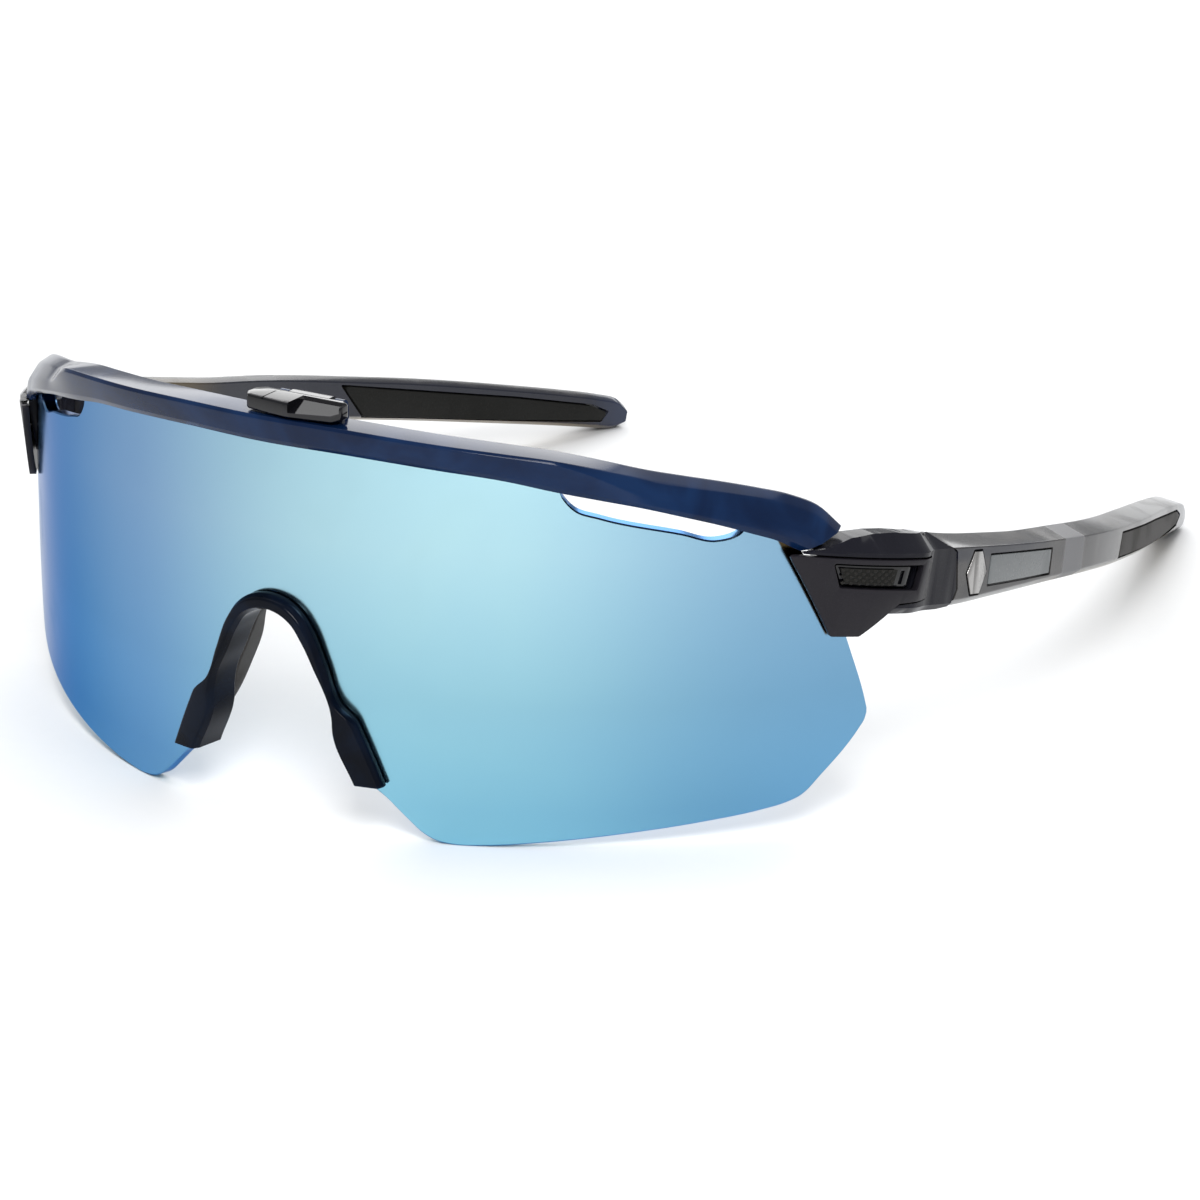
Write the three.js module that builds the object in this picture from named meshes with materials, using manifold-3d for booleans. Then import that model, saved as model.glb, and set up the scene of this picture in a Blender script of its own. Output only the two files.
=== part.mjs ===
// Wraparound sport sunglasses with one large shield lens, a browline bar above it, a snap-in nose
// piece and two folding temples. Millimetres, +Z up. The glasses stand as they do on a table: on
// the two lower lobes of the lens and the two temple tips. +X is the wearer's left, -Y is the
// front, and the origin is under the middle of the object, on the table.
import * as THREE from 'three';
import { mergeVertices } from 'three/addons/utils/BufferGeometryUtils.js';
import Module from 'manifold-3d';

const wasm = await Module();
wasm.setup();

// Driving dimensions -------------------------------------------------------------------------
const LENS_RADIUS = 71;        // plan radius of the lens at its centre
const LENS_FLATTEN = 4.4e-7;   // how much the curve opens out towards the sides, 1/mm^3
const LENS_THICK = 2;
const LENS_HALF = 83.8;        // half of the lens's width, measured along the curve
const GROOVE = 2.6;            // depth of the brow bar's lens groove
const WRAP_SLOPE = THREE.MathUtils.degToRad(13.6); // temples fall towards the table by this
const SIDE_ORIGIN = { y: 50, z: 36 };              // where the sloping side frame starts
const TEMPLE_THICK = 5;
const FLARE = { low: 0.6, top: 1.7, full: -1.5, none: 3.5 }; // lean of the wings and end blocks
const PIN = { x: 69.6, y: 1.8, r: 0.8 };           // temple hinge, in the side frame
const KNUCKLE_R = 2.1;
const GAP = 0.3;                                   // clearance between separate pieces
const SIDE_STEP = 4;           // spacing of the cuts that let a flat side piece bend
const TEMPLE_STEP = 12;
const CENTRE_SHIFT = -87;     // puts the middle of the depth at y = 0

// Lens outline, half of it: distance along the curve from the centre line, height above table
const LENS_TOP = [[0, 57], [12, 56.9], [25, 55.9], [38, 54.1], [40.2, 53], [41.2, 50.4], [42.9, 48.5],
  [46.3, 47.3], [57.1, 44.7], [62.1, 43.4], [65.4, 44.2], [66.8, 45.7], [69.7, 44.6], [72.6, 42.6],
  [74.8, 39.4], [80.2, 29], [81.4, 25.5], [83.3, 19.4], [LENS_HALF, 17.3]];
const LENS_BOTTOM = [[17, 5.9], [18.4, 4.6], [19.8, 3.3], [22.3, 1.2], [24, 0.4], [26.5, 0], [30.2, 0.1],
  [38.3, 0.8], [49.2, 1.9], [60.2, 3], [68.7, 4], [72, 4.6], [74.3, 5.4], [77.3, 8.1], [82.7, 14],
  [83.5, 15.2], [LENS_HALF, 16.2]];

// Brow bar: its lower edge and its upper edge, as [along, height] pairs
const BROW = [[0, 55, 0, 59.1], [12, 54.9, 12, 58.9], [25, 53.9, 25, 57.9], [34, 52.8, 34, 57],
  [40, 51.5, 40, 56.2], [46, 50.2, 46.5, 54.8], [52, 48.8, 52.8, 53.2], [57, 47.4, 58.5, 52],
  [62, 45.9, 63.6, 50.9], [66.3, 44.4, 68.8, 49.6], [70.3, 42.9, 73.4, 48.2], [72.2, 41.8, 77.2, 46.4],
  [73.4, 41.2, 80.8, 43]];

// Nose piece: inner edge and outer edge of one leg, from the middle of the arch down
const NOSE = [[0, 31.1, 0, 33.4], [2.2, 30.6, 2.9, 32.8], [3.9, 29.4, 5, 31.3], [5.3, 27.3, 6.6, 29.1],
  [7.1, 23.6, 8.7, 24.2], [9, 19.7, 10.7, 19.1], [9.5, 17.2, 13, 17], [9.6, 15.2, 13.9, 15.2],
  [12.6, 8.1, 17, 8.1]];

// Side pieces, drawn flat: [along the temple, up] in the sloping side frame
const WING = [[-19.9, 0.5], [1.2, 0.5], [1.8, -5.2], [-4.2, -5.7], [-8.7, -10.5], [-12.3, -10.7]];
const WING_WINDOW = [[-14.9, -0.2], [-1.6, -0.2], [-1.6, -3.8], [-13.2, -3.65]];
const SLIDER = [[-14.45, -0.55], [-3.4, -0.55], [-3.4, -3.45], [-12.9, -3.3]];
const GRIP_PAD = [[-13.9, -0.85], [-5.9, -0.85], [-5.9, -3.15], [-12.65, -3.05]];
const BLOCK = [[-17, 0.85], [-16.1, 1.6], [-12.8, 2.9], [-9.4, 3.5], [-5.9, 3.7], [3.6, 3.5], [8.8, 0.8],
  [10.2, -4.5], [9, -6.9], [6.5, -7.2], [-4.5, -7.4], [-10.4, -7.4]];
const BLOCK_TIP = [[-18.9, 0.85], [-16.1, 1.6], [-13.7, 2.5], [-13.7, 0.85]];
const AHEAD_OF_GAP = [[-4, 8], [4.2, 8], [4.2, 3.45], [9.25, 0.85], [10.65, -4.5], [9.4, -7.3], [9, -9],
  [-4, -9]];
const BADGE = [[12.6, -2.4], [14.2, 0.6], [16.4, 0.6], [18.4, -2.3], [16.9, -5.4], [14.4, -5.4]];
const INLAY = [[19.6, -0.2], [40, -0.5], [40, -3.9], [19.6, -4.3]];
const OUTER_GRIP = [[70.2, -3.8], [71.6, -0.4], [98, -0.9], [121, -1.7], [125, -2.6], [121, -3.7],
  [104, -4.2]];
const INNER_GRIP = [[68.2, 0.6], [82, 0], [106, -0.8], [123, -1.8], [126.5, -2.8], [125.5, -4.2],
  [106, -4.4], [74, -4.3]];

// Temple heights along its length: [along, outer crease, inner top edge, bottom edge]
const TEMPLE = [[2.5, 1.4, 3.3, -7.2], [12, 1.3, 2.7, -7.1], [23, 1.05, 2.3, -6.5], [35, 0.8, 2, -5.9],
  [47, 0.75, 2.1, -5.4], [59, 0.65, 2.1, -5.1], [71, 0.5, 2, -5.1], [83, 0.4, 1.9, -5.15],
  [95, 0.25, 1.6, -5.25], [107, 0, 1.1, -5.4], [117, -0.4, 0.6, -5.55], [125, -0.95, 0, -5.75],
  [129, -1.45, -0.6, -5.83], [131, -2.4, -1.8, -5.1]];

// Plan line of the outer side surface, [y, x]: lens corner, end block, then the temple's bend
const SIDE_PLAN = [[20, 49.5], [26, 57], [31.3, 62.7], [36, 66.6], [41.5, 70], [48, 72.3], [56, 73.4],
  [66, 73.8], [83, 73.6], [106.6, 72.2], [130, 67.3], [153.3, 60.6], [176.7, 53.4], [190, 49.4]];

// Geometry helpers -----------------------------------------------------------------------------
const lerp = THREE.MathUtils.lerp;

/** Value of a list of [key, value...] rows at a key, by straight lines; column picks the value. */
function table(rows, key, column = 1) {
  let i = 1;
  while (i < rows.length - 1 && rows[i][0] < key) i += 1;
  const [a, b] = [rows[i - 1], rows[i]];
  return lerp(a[column], b[column], (key - a[0]) / (b[0] - a[0]));
}

/** Smooth curve through [key, value] rows: value and slope at a key. */
function smooth(rows, key) {
  const last = rows.length - 1;
  let i = 0;
  while (i < last - 1 && rows[i + 1][0] < key) i += 1;
  const slope = (j) => {
    const [a, b] = [rows[Math.max(j - 1, 0)], rows[Math.min(j + 1, last)]];
    return (b[1] - a[1]) / (b[0] - a[0]);
  };
  const [k0, v0] = rows[i];
  const [k1, v1] = rows[i + 1];
  const w = k1 - k0;
  const t = (key - k0) / w;
  const [m0, m1] = [slope(i) * w, slope(i + 1) * w];
  const value = (2 * t ** 3 - 3 * t ** 2 + 1) * v0 + (t ** 3 - 2 * t ** 2 + t) * m0
    + (-2 * t ** 3 + 3 * t ** 2) * v1 + (t ** 3 - t ** 2) * m1;
  const grad = ((6 * t ** 2 - 6 * t) * v0 + (3 * t ** 2 - 4 * t + 1) * m0
    + (-6 * t ** 2 + 6 * t) * v1 + (3 * t ** 2 - 2 * t) * m1) / w;
  return { value, grad };
}

/** A BufferGeometry from a list of triangles (three points each), welded and without slivers. */
function fromTriangles(triangles) {
  const soup = new THREE.BufferGeometry();
  soup.setAttribute('position', new THREE.Float32BufferAttribute(triangles.flatMap((p) => p.toArray()), 3));
  const welded = mergeVertices(soup, 1e-4);
  const index = [];
  for (let i = 0; i < welded.index.count; i += 3) {
    const [a, b, c] = [0, 1, 2].map((k) => welded.index.getX(i + k));
    if (a !== b && b !== c && c !== a) index.push(a, b, c);
  }
  welded.setIndex(index);
  return welded;
}

/** The triangles of a geometry as a flat list of points. */
function trianglesOf(geometry) {
  const flat = geometry.index ? geometry.toNonIndexed() : geometry;
  const position = flat.getAttribute('position');
  return Array.from({ length: position.count }, (_, i) => new THREE.Vector3().fromBufferAttribute(position, i));
}

/** Turns the faces outwards if the closed mesh is inside out. */
function facingOut(geometry) {
  const points = trianglesOf(geometry);
  let volume = 0;
  for (let i = 0; i < points.length; i += 3) {
    volume += points[i].dot(new THREE.Vector3().crossVectors(points[i + 1], points[i + 2]));
  }
  if (volume > 0) return geometry;
  const flipped = [];
  for (let i = 0; i < points.length; i += 3) flipped.push(points[i], points[i + 2], points[i + 1]);
  return fromTriangles(flipped);
}

/** Closed skin through rings of points that all have the same count; outline triangulates the ends. */
function loft(rings, outline) {
  const n = rings[0].length;
  const points = [];
  for (let i = 0; i + 1 < rings.length; i += 1) {
    for (let j = 0; j < n; j += 1) {
      const k = (j + 1) % n;
      const [a, b, c, d] = [rings[i][j], rings[i][k], rings[i + 1][k], rings[i + 1][j]];
      points.push(a, b, c, a, c, d);
    }
  }
  const flat = outline.map(([x, y]) => new THREE.Vector2(x, y));
  const turn = Math.sign(THREE.ShapeUtils.area(flat));
  const [start, end] = [rings[0], rings[rings.length - 1]];
  for (const [a, b, c] of THREE.ShapeUtils.triangulateShape(flat, [])) {
    const same = Math.sign(THREE.ShapeUtils.area([flat[a], flat[b], flat[c]])) === turn;
    const [p, q] = same ? [b, c] : [c, b];
    points.push(start[a], start[q], start[p], end[a], end[p], end[q]);
  }
  return facingOut(fromTriangles(points));
}

function solid(geometry) {
  const clean = geometry.index ? geometry : fromTriangles(trianglesOf(geometry));
  return new wasm.Manifold(new wasm.Mesh({
    numProp: 3,
    vertProperties: new Float32Array(clean.getAttribute('position').array),
    triVerts: new Uint32Array(clean.index.array),
  }));
}

/** Joins the added geometries to the base and takes the removed ones away. */
function combine(base, { add = [], remove = [] }) {
  let body = solid(base);
  for (const piece of add) body = body.add(solid(piece));
  for (const piece of remove) body = body.subtract(solid(piece));
  const mesh = body.getMesh();
  const result = new THREE.BufferGeometry();
  result.setAttribute('position', new THREE.BufferAttribute(new Float32Array(mesh.vertProperties), 3));
  result.setIndex(new THREE.BufferAttribute(new Uint32Array(mesh.triVerts), 1));
  return result;
}

/** Flat plate drawn in the side frame: outline [along, up], between two depths from the outside. */
function plate(outline, near, far) {
  const shape = new THREE.Shape(outline.map(([x, y]) => new THREE.Vector2(x, y)));
  const geometry = new THREE.ExtrudeGeometry(shape, { depth: far - near, bevelEnabled: false });
  geometry.translate(0, 0, near);
  geometry.deleteAttribute('normal');
  geometry.deleteAttribute('uv');
  return fromTriangles(trianglesOf(geometry));
}

/** The same outline grown by a margin, for pockets that clear the piece they hold. */
function grown(outline, margin) {
  const points = outline.map(([x, y]) => new THREE.Vector2(x, y));
  const turn = THREE.ShapeUtils.area(points) > 0 ? 1 : -1;
  return points.map((p, i) => {
    const before = points[(i + points.length - 1) % points.length];
    const after = points[(i + 1) % points.length];
    const u = p.clone().sub(before).normalize();
    const v = after.clone().sub(p).normalize();
    const nu = new THREE.Vector2(u.y * turn, -u.x * turn);
    const nv = new THREE.Vector2(v.y * turn, -v.x * turn);
    const mid = nu.add(nv).normalize();
    const reach = margin / Math.max(mid.dot(nv), 0.5);
    return [p.x + mid.x * reach, p.y + mid.y * reach];
  });
}

/** Cuts triangles across the length so that a straight piece can be bent smoothly. */
function sliced(geometry, step) {
  let points = trianglesOf(geometry);
  const xs = points.map((p) => p.x);
  const last = Math.floor(Math.max(...xs) / step);
  for (let k = Math.ceil(Math.min(...xs) / step); k <= last; k += 1) {
    const cut = k * step;
    const next = [];
    for (let i = 0; i < points.length; i += 3) {
      const corners = points.slice(i, i + 3);
      const side = corners.map((p) => (Math.abs(p.x - cut) < 1e-5 ? 0 : Math.sign(p.x - cut)));
      if (!(side.includes(1) && side.includes(-1))) {
        next.push(...corners);
        continue;
      }
      for (const keep of [1, -1]) {
        const polygon = [];
        corners.forEach((p, j) => {
          const q = corners[(j + 1) % 3];
          if (side[j] === keep || side[j] === 0) polygon.push(p);
          if (side[j] * side[(j + 1) % 3] === -1) {
            const [lo, hi] = p.x < q.x ? [p, q] : [q, p];
            polygon.push(lo.clone().lerp(hi, (cut - lo.x) / (hi.x - lo.x)).setX(cut));
          }
        });
        for (let j = 1; j + 1 < polygon.length; j += 1) next.push(polygon[0], polygon[j], polygon[j + 1]);
      }
    }
    points = next;
  }
  return points;
}

/** How far a side piece stands outside the side plan line: the front end leans out at its top. */
function flare(along, up) {
  const lean = lerp(FLARE.low, FLARE.top, THREE.MathUtils.clamp((up + 11) / 11.5, 0, 1));
  return lean * (1 - THREE.MathUtils.smoothstep(along, FLARE.full, FLARE.none));
}

/** Bends a flat side piece (along, up, depth) round the side plan line, into the glasses' frame. */
function bent(geometry, step) {
  const [sin, cos] = [Math.sin(WRAP_SLOPE), Math.cos(WRAP_SLOPE)];
  const placed = sliced(geometry, step).map(({ x: along, y: up, z: depth }) => {
    const y = SIDE_ORIGIN.y + along * cos + up * sin;
    const z = SIDE_ORIGIN.z - along * sin + up * cos;
    const { value, grad } = smooth(SIDE_PLAN, y);
    const inward = (depth - flare(along, up)) / Math.hypot(1, grad);
    return new THREE.Vector3(value - inward, y + inward * grad, z);
  });
  return facingOut(fromTriangles(placed));
}

/** Moves a geometry from the straight side frame (x, along, up) into the glasses' frame. */
function fromSideFrame(geometry) {
  geometry.deleteAttribute('normal');
  geometry.deleteAttribute('uv');
  geometry.rotateX(-WRAP_SLOPE).translate(0, SIDE_ORIGIN.y, SIDE_ORIGIN.z);
  return facingOut(fromTriangles(trianglesOf(geometry)));
}

/** Upright cylinder round the hinge pin, between two heights of the side frame. */
function roundPin(radius, low, high, segments = 16) {
  const geometry = new THREE.CylinderGeometry(radius, radius, high - low, segments);
  geometry.rotateX(Math.PI / 2).translate(PIN.x, PIN.y, (low + high) / 2);
  return fromSideFrame(geometry);
}

function sideBox([x0, x1], [y0, y1], [z0, z1]) {
  const geometry = new THREE.BoxGeometry(x1 - x0, y1 - y0, z1 - z0);
  geometry.translate((x0 + x1) / 2, (y0 + y1) / 2, (z0 + z1) / 2);
  return fromSideFrame(geometry);
}

function mirrored(geometry) {
  return facingOut(fromTriangles(trianglesOf(geometry).map((p) => p.setX(-p.x))));
}

// The lens's curve in plan, integrated from its curvature
const PLAN_STEP = 0.5;
const planCurve = (() => {
  const points = [[0, 0, 0, 0]];
  for (let s = PLAN_STEP; s <= 96; s += PLAN_STEP) {
    const mid = s - PLAN_STEP / 2;
    const angle = mid / LENS_RADIUS - LENS_FLATTEN * mid ** 3;
    const [, x, y] = points[points.length - 1];
    points.push([s, x + Math.cos(angle) * PLAN_STEP, y + Math.sin(angle) * PLAN_STEP,
      s / LENS_RADIUS - LENS_FLATTEN * s ** 3]);
  }
  return points;
})();

/** Point at a distance along the lens, a height, and an offset out of its front face. */
function onLens(along, height, out) {
  const s = Math.abs(along);
  const turn = table(planCurve, s, 3);
  const x = table(planCurve, s, 1) + out * Math.sin(turn);
  const y = table(planCurve, s, 2) - out * Math.cos(turn);
  return new THREE.Vector3(Math.sign(along) * x, y, height);
}

/** Both halves of a symmetric list: the given rows and their mirror images, end to end. */
function bothHalves(rows, mirrorColumns) {
  const other = rows.slice(1).reverse().map((row) => row.map((v, i) => (mirrorColumns.includes(i) ? -v : v)));
  return [...other, ...rows];
}

/** Adds rows half-way between the given ones. */
function halved(rows) {
  return rows.flatMap((row, i) => (i === 0 ? [row] : [row.map((v, j) => (v + rows[i - 1][j]) / 2), row]));
}

// Front: brow bar, lens, nose piece ------------------------------------------------------------
const FLAT_BROW = [[0, 1.25], [0.18, 1.75], [0.9, 2.75], [1, 2.4], [1, -2.2], [0.82, -3.2], [0.15, -3.4],
  [0, -3.1]];
const SLOPED_BROW = [[0, 1], [0.14, 1.5], [0.42, 1.2], [0.8, -0.4], [1, -2.5], [0.85, -3.9], [0.15, -4],
  [0, -3.5]];

/** Outer shape of the brow bar's section as [share of height, out], grown by a margin. */
function browOutline(along, margin = 0) {
  const side = THREE.MathUtils.smoothstep(Math.abs(along), 40, 54);
  return FLAT_BROW.map(([h, out], i) => {
    const reach = lerp(out, SLOPED_BROW[i][1], side);
    return [lerp(h, SLOPED_BROW[i][0], side), reach + Math.sign(reach) * margin];
  });
}

/** Section of the bar with the lens groove, which opens downwards. */
function browSection(along, height) {
  const groove = GROOVE / height;
  return [...browOutline(along), [0, -LENS_THICK - GAP], [groove, -LENS_THICK - GAP], [groove, GAP], [0, GAP]];
}

/** The bar's rings along the lens curve, from a function that gives each section. */
function browRings(section) {
  return bothHalves(halved(BROW), [0, 2]).map(([s0, z0, s1, z1]) => {
    const outline = section((s0 + s1) / 2, Math.hypot(s1 - s0, z1 - z0));
    return outline.map(([h, out]) => onLens(lerp(s0, s1, h), lerp(z0, z1, h), out));
  });
}

/** The room that the brow bar needs, so that the pieces under its ends clear it. */
function browRoom() {
  const outline = (along) => browOutline(along, GAP);
  const room = loft(browRings(outline), outline(80));
  return room.translate(0, 0, -GAP);
}

const LATCH = { x: 4.55, low: 59.45, high: 61.6, pinY: 3.9, pinZ: 60.1 };

/** Round bar along X at the latch's pin. */
function latchRound(radius, x0, x1) {
  const geometry = new THREE.CylinderGeometry(radius, radius, x1 - x0, 14);
  geometry.rotateZ(Math.PI / 2).translate((x0 + x1) / 2, LATCH.pinY, LATCH.pinZ);
  geometry.deleteAttribute('normal');
  geometry.deleteAttribute('uv');
  return fromTriangles(trianglesOf(geometry));
}

function block(x0, x1, y0, y1, z0, z1) {
  const geometry = new THREE.BoxGeometry(x1 - x0, y1 - y0, z1 - z0);
  geometry.translate((x0 + x1) / 2, (y0 + y1) / 2, (z0 + z1) / 2);
  geometry.deleteAttribute('normal');
  geometry.deleteAttribute('uv');
  return fromTriangles(trianglesOf(geometry));
}

function browFrame() {
  const bar = loft(browRings(browSection), browSection(80, 7));
  const ears = [-1, 1].flatMap((side) => {
    const x = LATCH.x + side * 4.4;
    return [latchRound(1.1, x - 0.7, x + 0.7), block(x - 0.7, x + 0.7, 2.6, 4.9, 57.2, 60.1)];
  });
  return combine(combine(bar, { add: ears }), {
    remove: [latchRound(1.5, LATCH.x - 3.5, LATCH.x + 3.5), latchRound(0.55, LATCH.x - 5.6, LATCH.x + 5.6)],
  });
}

/** Middle line of the nose piece's slot, where the lens edge stops. */
function noseSlot() {
  return NOSE.map(([s0, z0, s1, z1]) => {
    const share = 1.5 / Math.hypot(s1 - s0, z1 - z0);
    return [lerp(s0, s1, share), lerp(z0, z1, share)];
  });
}

function lens() {
  const bottom = [...noseSlot(), ...LENS_BOTTOM];
  const stations = [...new Set([...LENS_TOP, ...bottom].map(([s]) => Math.round(s * 100) / 100))].sort((a, b) => a - b);
  const filled = stations.flatMap((s, i) => {
    const gap = i ? s - stations[i - 1] : 0;
    return gap > 5 ? [s - gap / 2, s] : [s];
  });
  const rows = bothHalves(filled.map((s) => [s, table(bottom, s), table(LENS_TOP, s)]), [0]);
  const rings = rows.map(([s, low, high]) => [
    onLens(s, low, 0), onLens(s, high, 0), onLens(s, high, -LENS_THICK), onLens(s, low, -LENS_THICK)]);
  return loft(rings, [[0, 0], [0, 1], [1, 1], [1, 0]]);
}

/** U section of the nose piece: it grips the lens edge from both faces. */
function noseSection(width) {
  return [[0, 1.6], [0.3, 2.2], [width - 0.3, 2.2], [width, 1.6], [width, GAP], [1.2, GAP],
    [1.2, -LENS_THICK - GAP], [width, -LENS_THICK - GAP], [width, -3.1], [width - 0.4, -3.5], [0.5, -3.5], [0, -3]];
}

function noseClip() {
  const rings = bothHalves(halved(NOSE), [0, 2]).map(([s0, z0, s1, z1]) => {
    const width = Math.hypot(s1 - s0, z1 - z0);
    return noseSection(width).map(([a, out]) => onLens(lerp(s0, s1, a / width), lerp(z0, z1, a / width), out));
  });
  return loft(rings, noseSection(4));
}

/** Soft pad behind one leg of the nose piece: [height, front x, rear x, rear y]. */
function nosePad() {
  const rows = [[28.6, 4.9, 5.7, 7.6], [26, 6, 7.3, 9.4], [22, 7.9, 9, 10.8], [18.5, 9.5, 10.4, 10.6],
    [15, 10.3, 11.5, 9.4], [11, 12.1, 13.2, 7.4], [9.2, 12.9, 13.9, 6.2]];
  const rings = rows.map(([z, xf, xr, yr], i) => {
    const edge = i === 0 || i === rows.length - 1 ? 0.35 : 0;
    const yf = onLens(xf + 1, z, -3.5 - GAP).y + 0.25;
    const t = 1.7 - edge;
    return [[xf + edge, yf], [xr + edge, yr - 0.5], [xr + 0.5, yr], [xr + t - 0.2, yr - 0.3],
      [xf + t + 0.3, yf + 0.4], [xf + t, yf]].map(([x, y]) => new THREE.Vector3(x, y, z));
  });
  return loft(rings, [[0, 0], [0, 4], [0.5, 5], [1.5, 4.6], [1.7, 0.4], [1.6, 0]]);
}

// Latch on the brow bar ----------------------------------------------------------------------
function centreLatch() {
  const plan = [[-7.6, -0.4], [-6.8, -1.8], [-0.6, -2.5], [0.4, -2.5], [6.4, -1.5], [7.5, -0.3], [7.3, 1.5],
    [6.2, 2.3], [-6.2, 2.3], [-7.4, 1.4]];
  const shape = new THREE.Shape(plan.map(([x, y]) => new THREE.Vector2(x, y)));
  const cap = new THREE.ExtrudeGeometry(shape, {
    depth: LATCH.high - LATCH.low - 1, bevelThickness: 0.5, bevelSize: 0.5, bevelOffset: -0.5, bevelSegments: 2,
  });
  cap.translate(LATCH.x, 0, LATCH.low + 0.5);
  cap.deleteAttribute('normal');
  cap.deleteAttribute('uv');
  const body = fromTriangles(trianglesOf(cap));
  const web = block(LATCH.x - 3.2, LATCH.x + 3.2, 1.6, LATCH.pinY, LATCH.low + 0.3, LATCH.high - 0.4);
  return combine(combine(body, { add: [web, latchRound(1.1, LATCH.x - 3.2, LATCH.x + 3.2)] }), {
    remove: [latchRound(0.55, LATCH.x - 5, LATCH.x + 5)],
  });
}

// Side pieces of the front ---------------------------------------------------------------------
function sideWing() {
  const wing = combine(plate(WING, -0.3, 0.7), { remove: [plate(WING_WINDOW, -2, 3)] });
  return combine(bent(wing, SIDE_STEP), { remove: [browRoom()] });
}

/** Prism along the temple direction from a [depth, up] outline. */
function rail(outline, from, to) {
  const rings = [from, to].map((along) => outline.map(([depth, up]) => new THREE.Vector3(along, up, depth)));
  return loft(rings, outline);
}

function endBlock() {
  const bevel = rail([[-3, -1.6], [-3, 8], [3.4, 8], [2.6, 3.75], [0, 1.4]], -30, 30);
  const lowBevel = rail([[-3, -5], [-0.6, -5.6], [0.9, -7.6], [3, -9], [-3, -9]], -30, 30);
  const flat = combine(combine(plate(BLOCK, 0, 5), { add: [plate(BLOCK_TIP, -0.2, 0.7)] }), {
    remove: [bevel, lowBevel, plate(grown(WING, GAP), -3, 1), plate(WING_WINDOW, -3, 2.4)],
  });
  const body = combine(bent(flat, SIDE_STEP), { remove: [browRoom()] });
  const inner = sideBox([58, 71.05], [PIN.y, 16], [-12, 12]);
  const throat = sideBox([58, 71.05], [-0.9, 16], [-4.9, 0.9]);
  const ears = [roundPin(KNUCKLE_R, 0.95, 3.45), roundPin(KNUCKLE_R, -7.1, -4.95)];
  return combine(combine(combine(body, { remove: [inner] }), { add: ears }), {
    remove: [throat, roundPin(KNUCKLE_R + 0.4, -4.9, 0.9), roundPin(PIN.r + 0.05, -9, 6),
      roundPin(1.7, 2.85, 6)],
  });
}

function lockSlider() {
  return bent(plate(SLIDER, 0.35, 2), SIDE_STEP);
}

function lockGrip() {
  return bent(plate(GRIP_PAD, -0.25, 0.05), SIDE_STEP);
}

function hingeScrew() {
  const slot = sideBox([PIN.x - 2, PIN.x + 2], [PIN.y - 0.2, PIN.y + 0.2], [3.15, 4]);
  return combine(roundPin(PIN.r, -6.9, 3), { add: [roundPin(1.4, 2.9, 3.45)], remove: [slot] });
}

// Temples ----------------------------------------------------------------------------------------
function templeArm() {
  const w = TEMPLE_THICK;
  const rings = TEMPLE.map(([along, crease, top, bottom]) => [
    [crease, 0], [top, w - 1.2], [top - 0.8, w], [bottom + 0.8, w], [bottom, w - 1.3], [bottom, 1.5],
    [bottom + 1.2, 0]].map(([up, depth]) => new THREE.Vector3(along, up, depth)));
  const outline = [[1, 0], [2, 3.8], [1.2, 5], [-3, 5], [-4, 3.7], [-4, 1.5], [-2.8, 0]];
  const flat = combine(loft(rings, outline), {
    remove: [plate(AHEAD_OF_GAP, -2, 8), plate(grown(BADGE, GAP), -1, 0.8), plate(grown(INLAY, GAP), -1, 0.7),
      plate(grown(OUTER_GRIP, GAP), -1, 0.9), plate(grown(INNER_GRIP, GAP), w - 1.3, w + 2)],
  });
  const arm = sideBox([68.6, 70.7], [PIN.y, 13], [-4.6, 0.6]);
  return combine(combine(bent(flat, TEMPLE_STEP), { add: [arm, roundPin(KNUCKLE_R, -4.6, 0.6)] }), {
    remove: [roundPin(PIN.r + 0.05, -6, 2)],
  });
}

const templeBadge = () => bent(plate(BADGE, -0.15, 0.5), 3);
const templeInlay = () => bent(plate(INLAY, 0.05, 0.4), TEMPLE_STEP);
const outerGrip = () => bent(plate(OUTER_GRIP, 0, 0.6), TEMPLE_STEP);
const innerGrip = () => bent(plate(INNER_GRIP, TEMPLE_THICK - 1, TEMPLE_THICK + 0.25), TEMPLE_STEP);

// Assembly ---------------------------------------------------------------------------------------
const colour = (hex, roughness, metalness = 0, opacity = 1) => new THREE.MeshStandardMaterial({
  color: hex, roughness, metalness, opacity, transparent: opacity < 1,
});
const navy = colour(0x10284a, 0.15, 0, 0.92);
const smoke = colour(0x3d4250, 0.2, 0, 0.85);
const black = colour(0x14151a, 0.35);
const rubber = colour(0x221f1d, 0.85);
const mirrorBlue = colour(0x7cc0dd, 0.08, 0.6);
const steel = colour(0x9aa0a6, 0.3, 1);

const glasses = new THREE.Group();

function addPiece(name, geometry, material) {
  geometry.computeVertexNormals();
  const mesh = new THREE.Mesh(geometry, material);
  mesh.name = name;
  mesh.position.y = CENTRE_SHIFT;
  glasses.add(mesh);
}

addPiece('brow_frame', browFrame(), navy);
addPiece('lens', lens(), mirrorBlue);
addPiece('nose_clip', noseClip(), navy);
addPiece('centre_latch', centreLatch(), black);
addPiece('latch_pin', latchRound(0.45, LATCH.x - 5, LATCH.x + 5), steel);

const sidePieces = [
  ['nose_pad', nosePad(), rubber],
  ['end_block', endBlock(), smoke],
  ['side_wing', sideWing(), black],
  ['lock_slider', lockSlider(), black],
  ['lock_grip', lockGrip(), rubber],
  ['hinge_screw', hingeScrew(), steel],
  ['temple_arm', templeArm(), smoke],
  ['temple_badge', templeBadge(), steel],
  ['temple_inlay', templeInlay(), smoke],
  ['outer_grip', outerGrip(), rubber],
  ['inner_grip', innerGrip(), rubber],
];
for (const [name, geometry, material] of sidePieces) {
  addPiece(`${name}_left`, geometry, material);
  addPiece(`${name}_right`, mirrored(geometry), material);
}

export default glasses;
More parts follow.
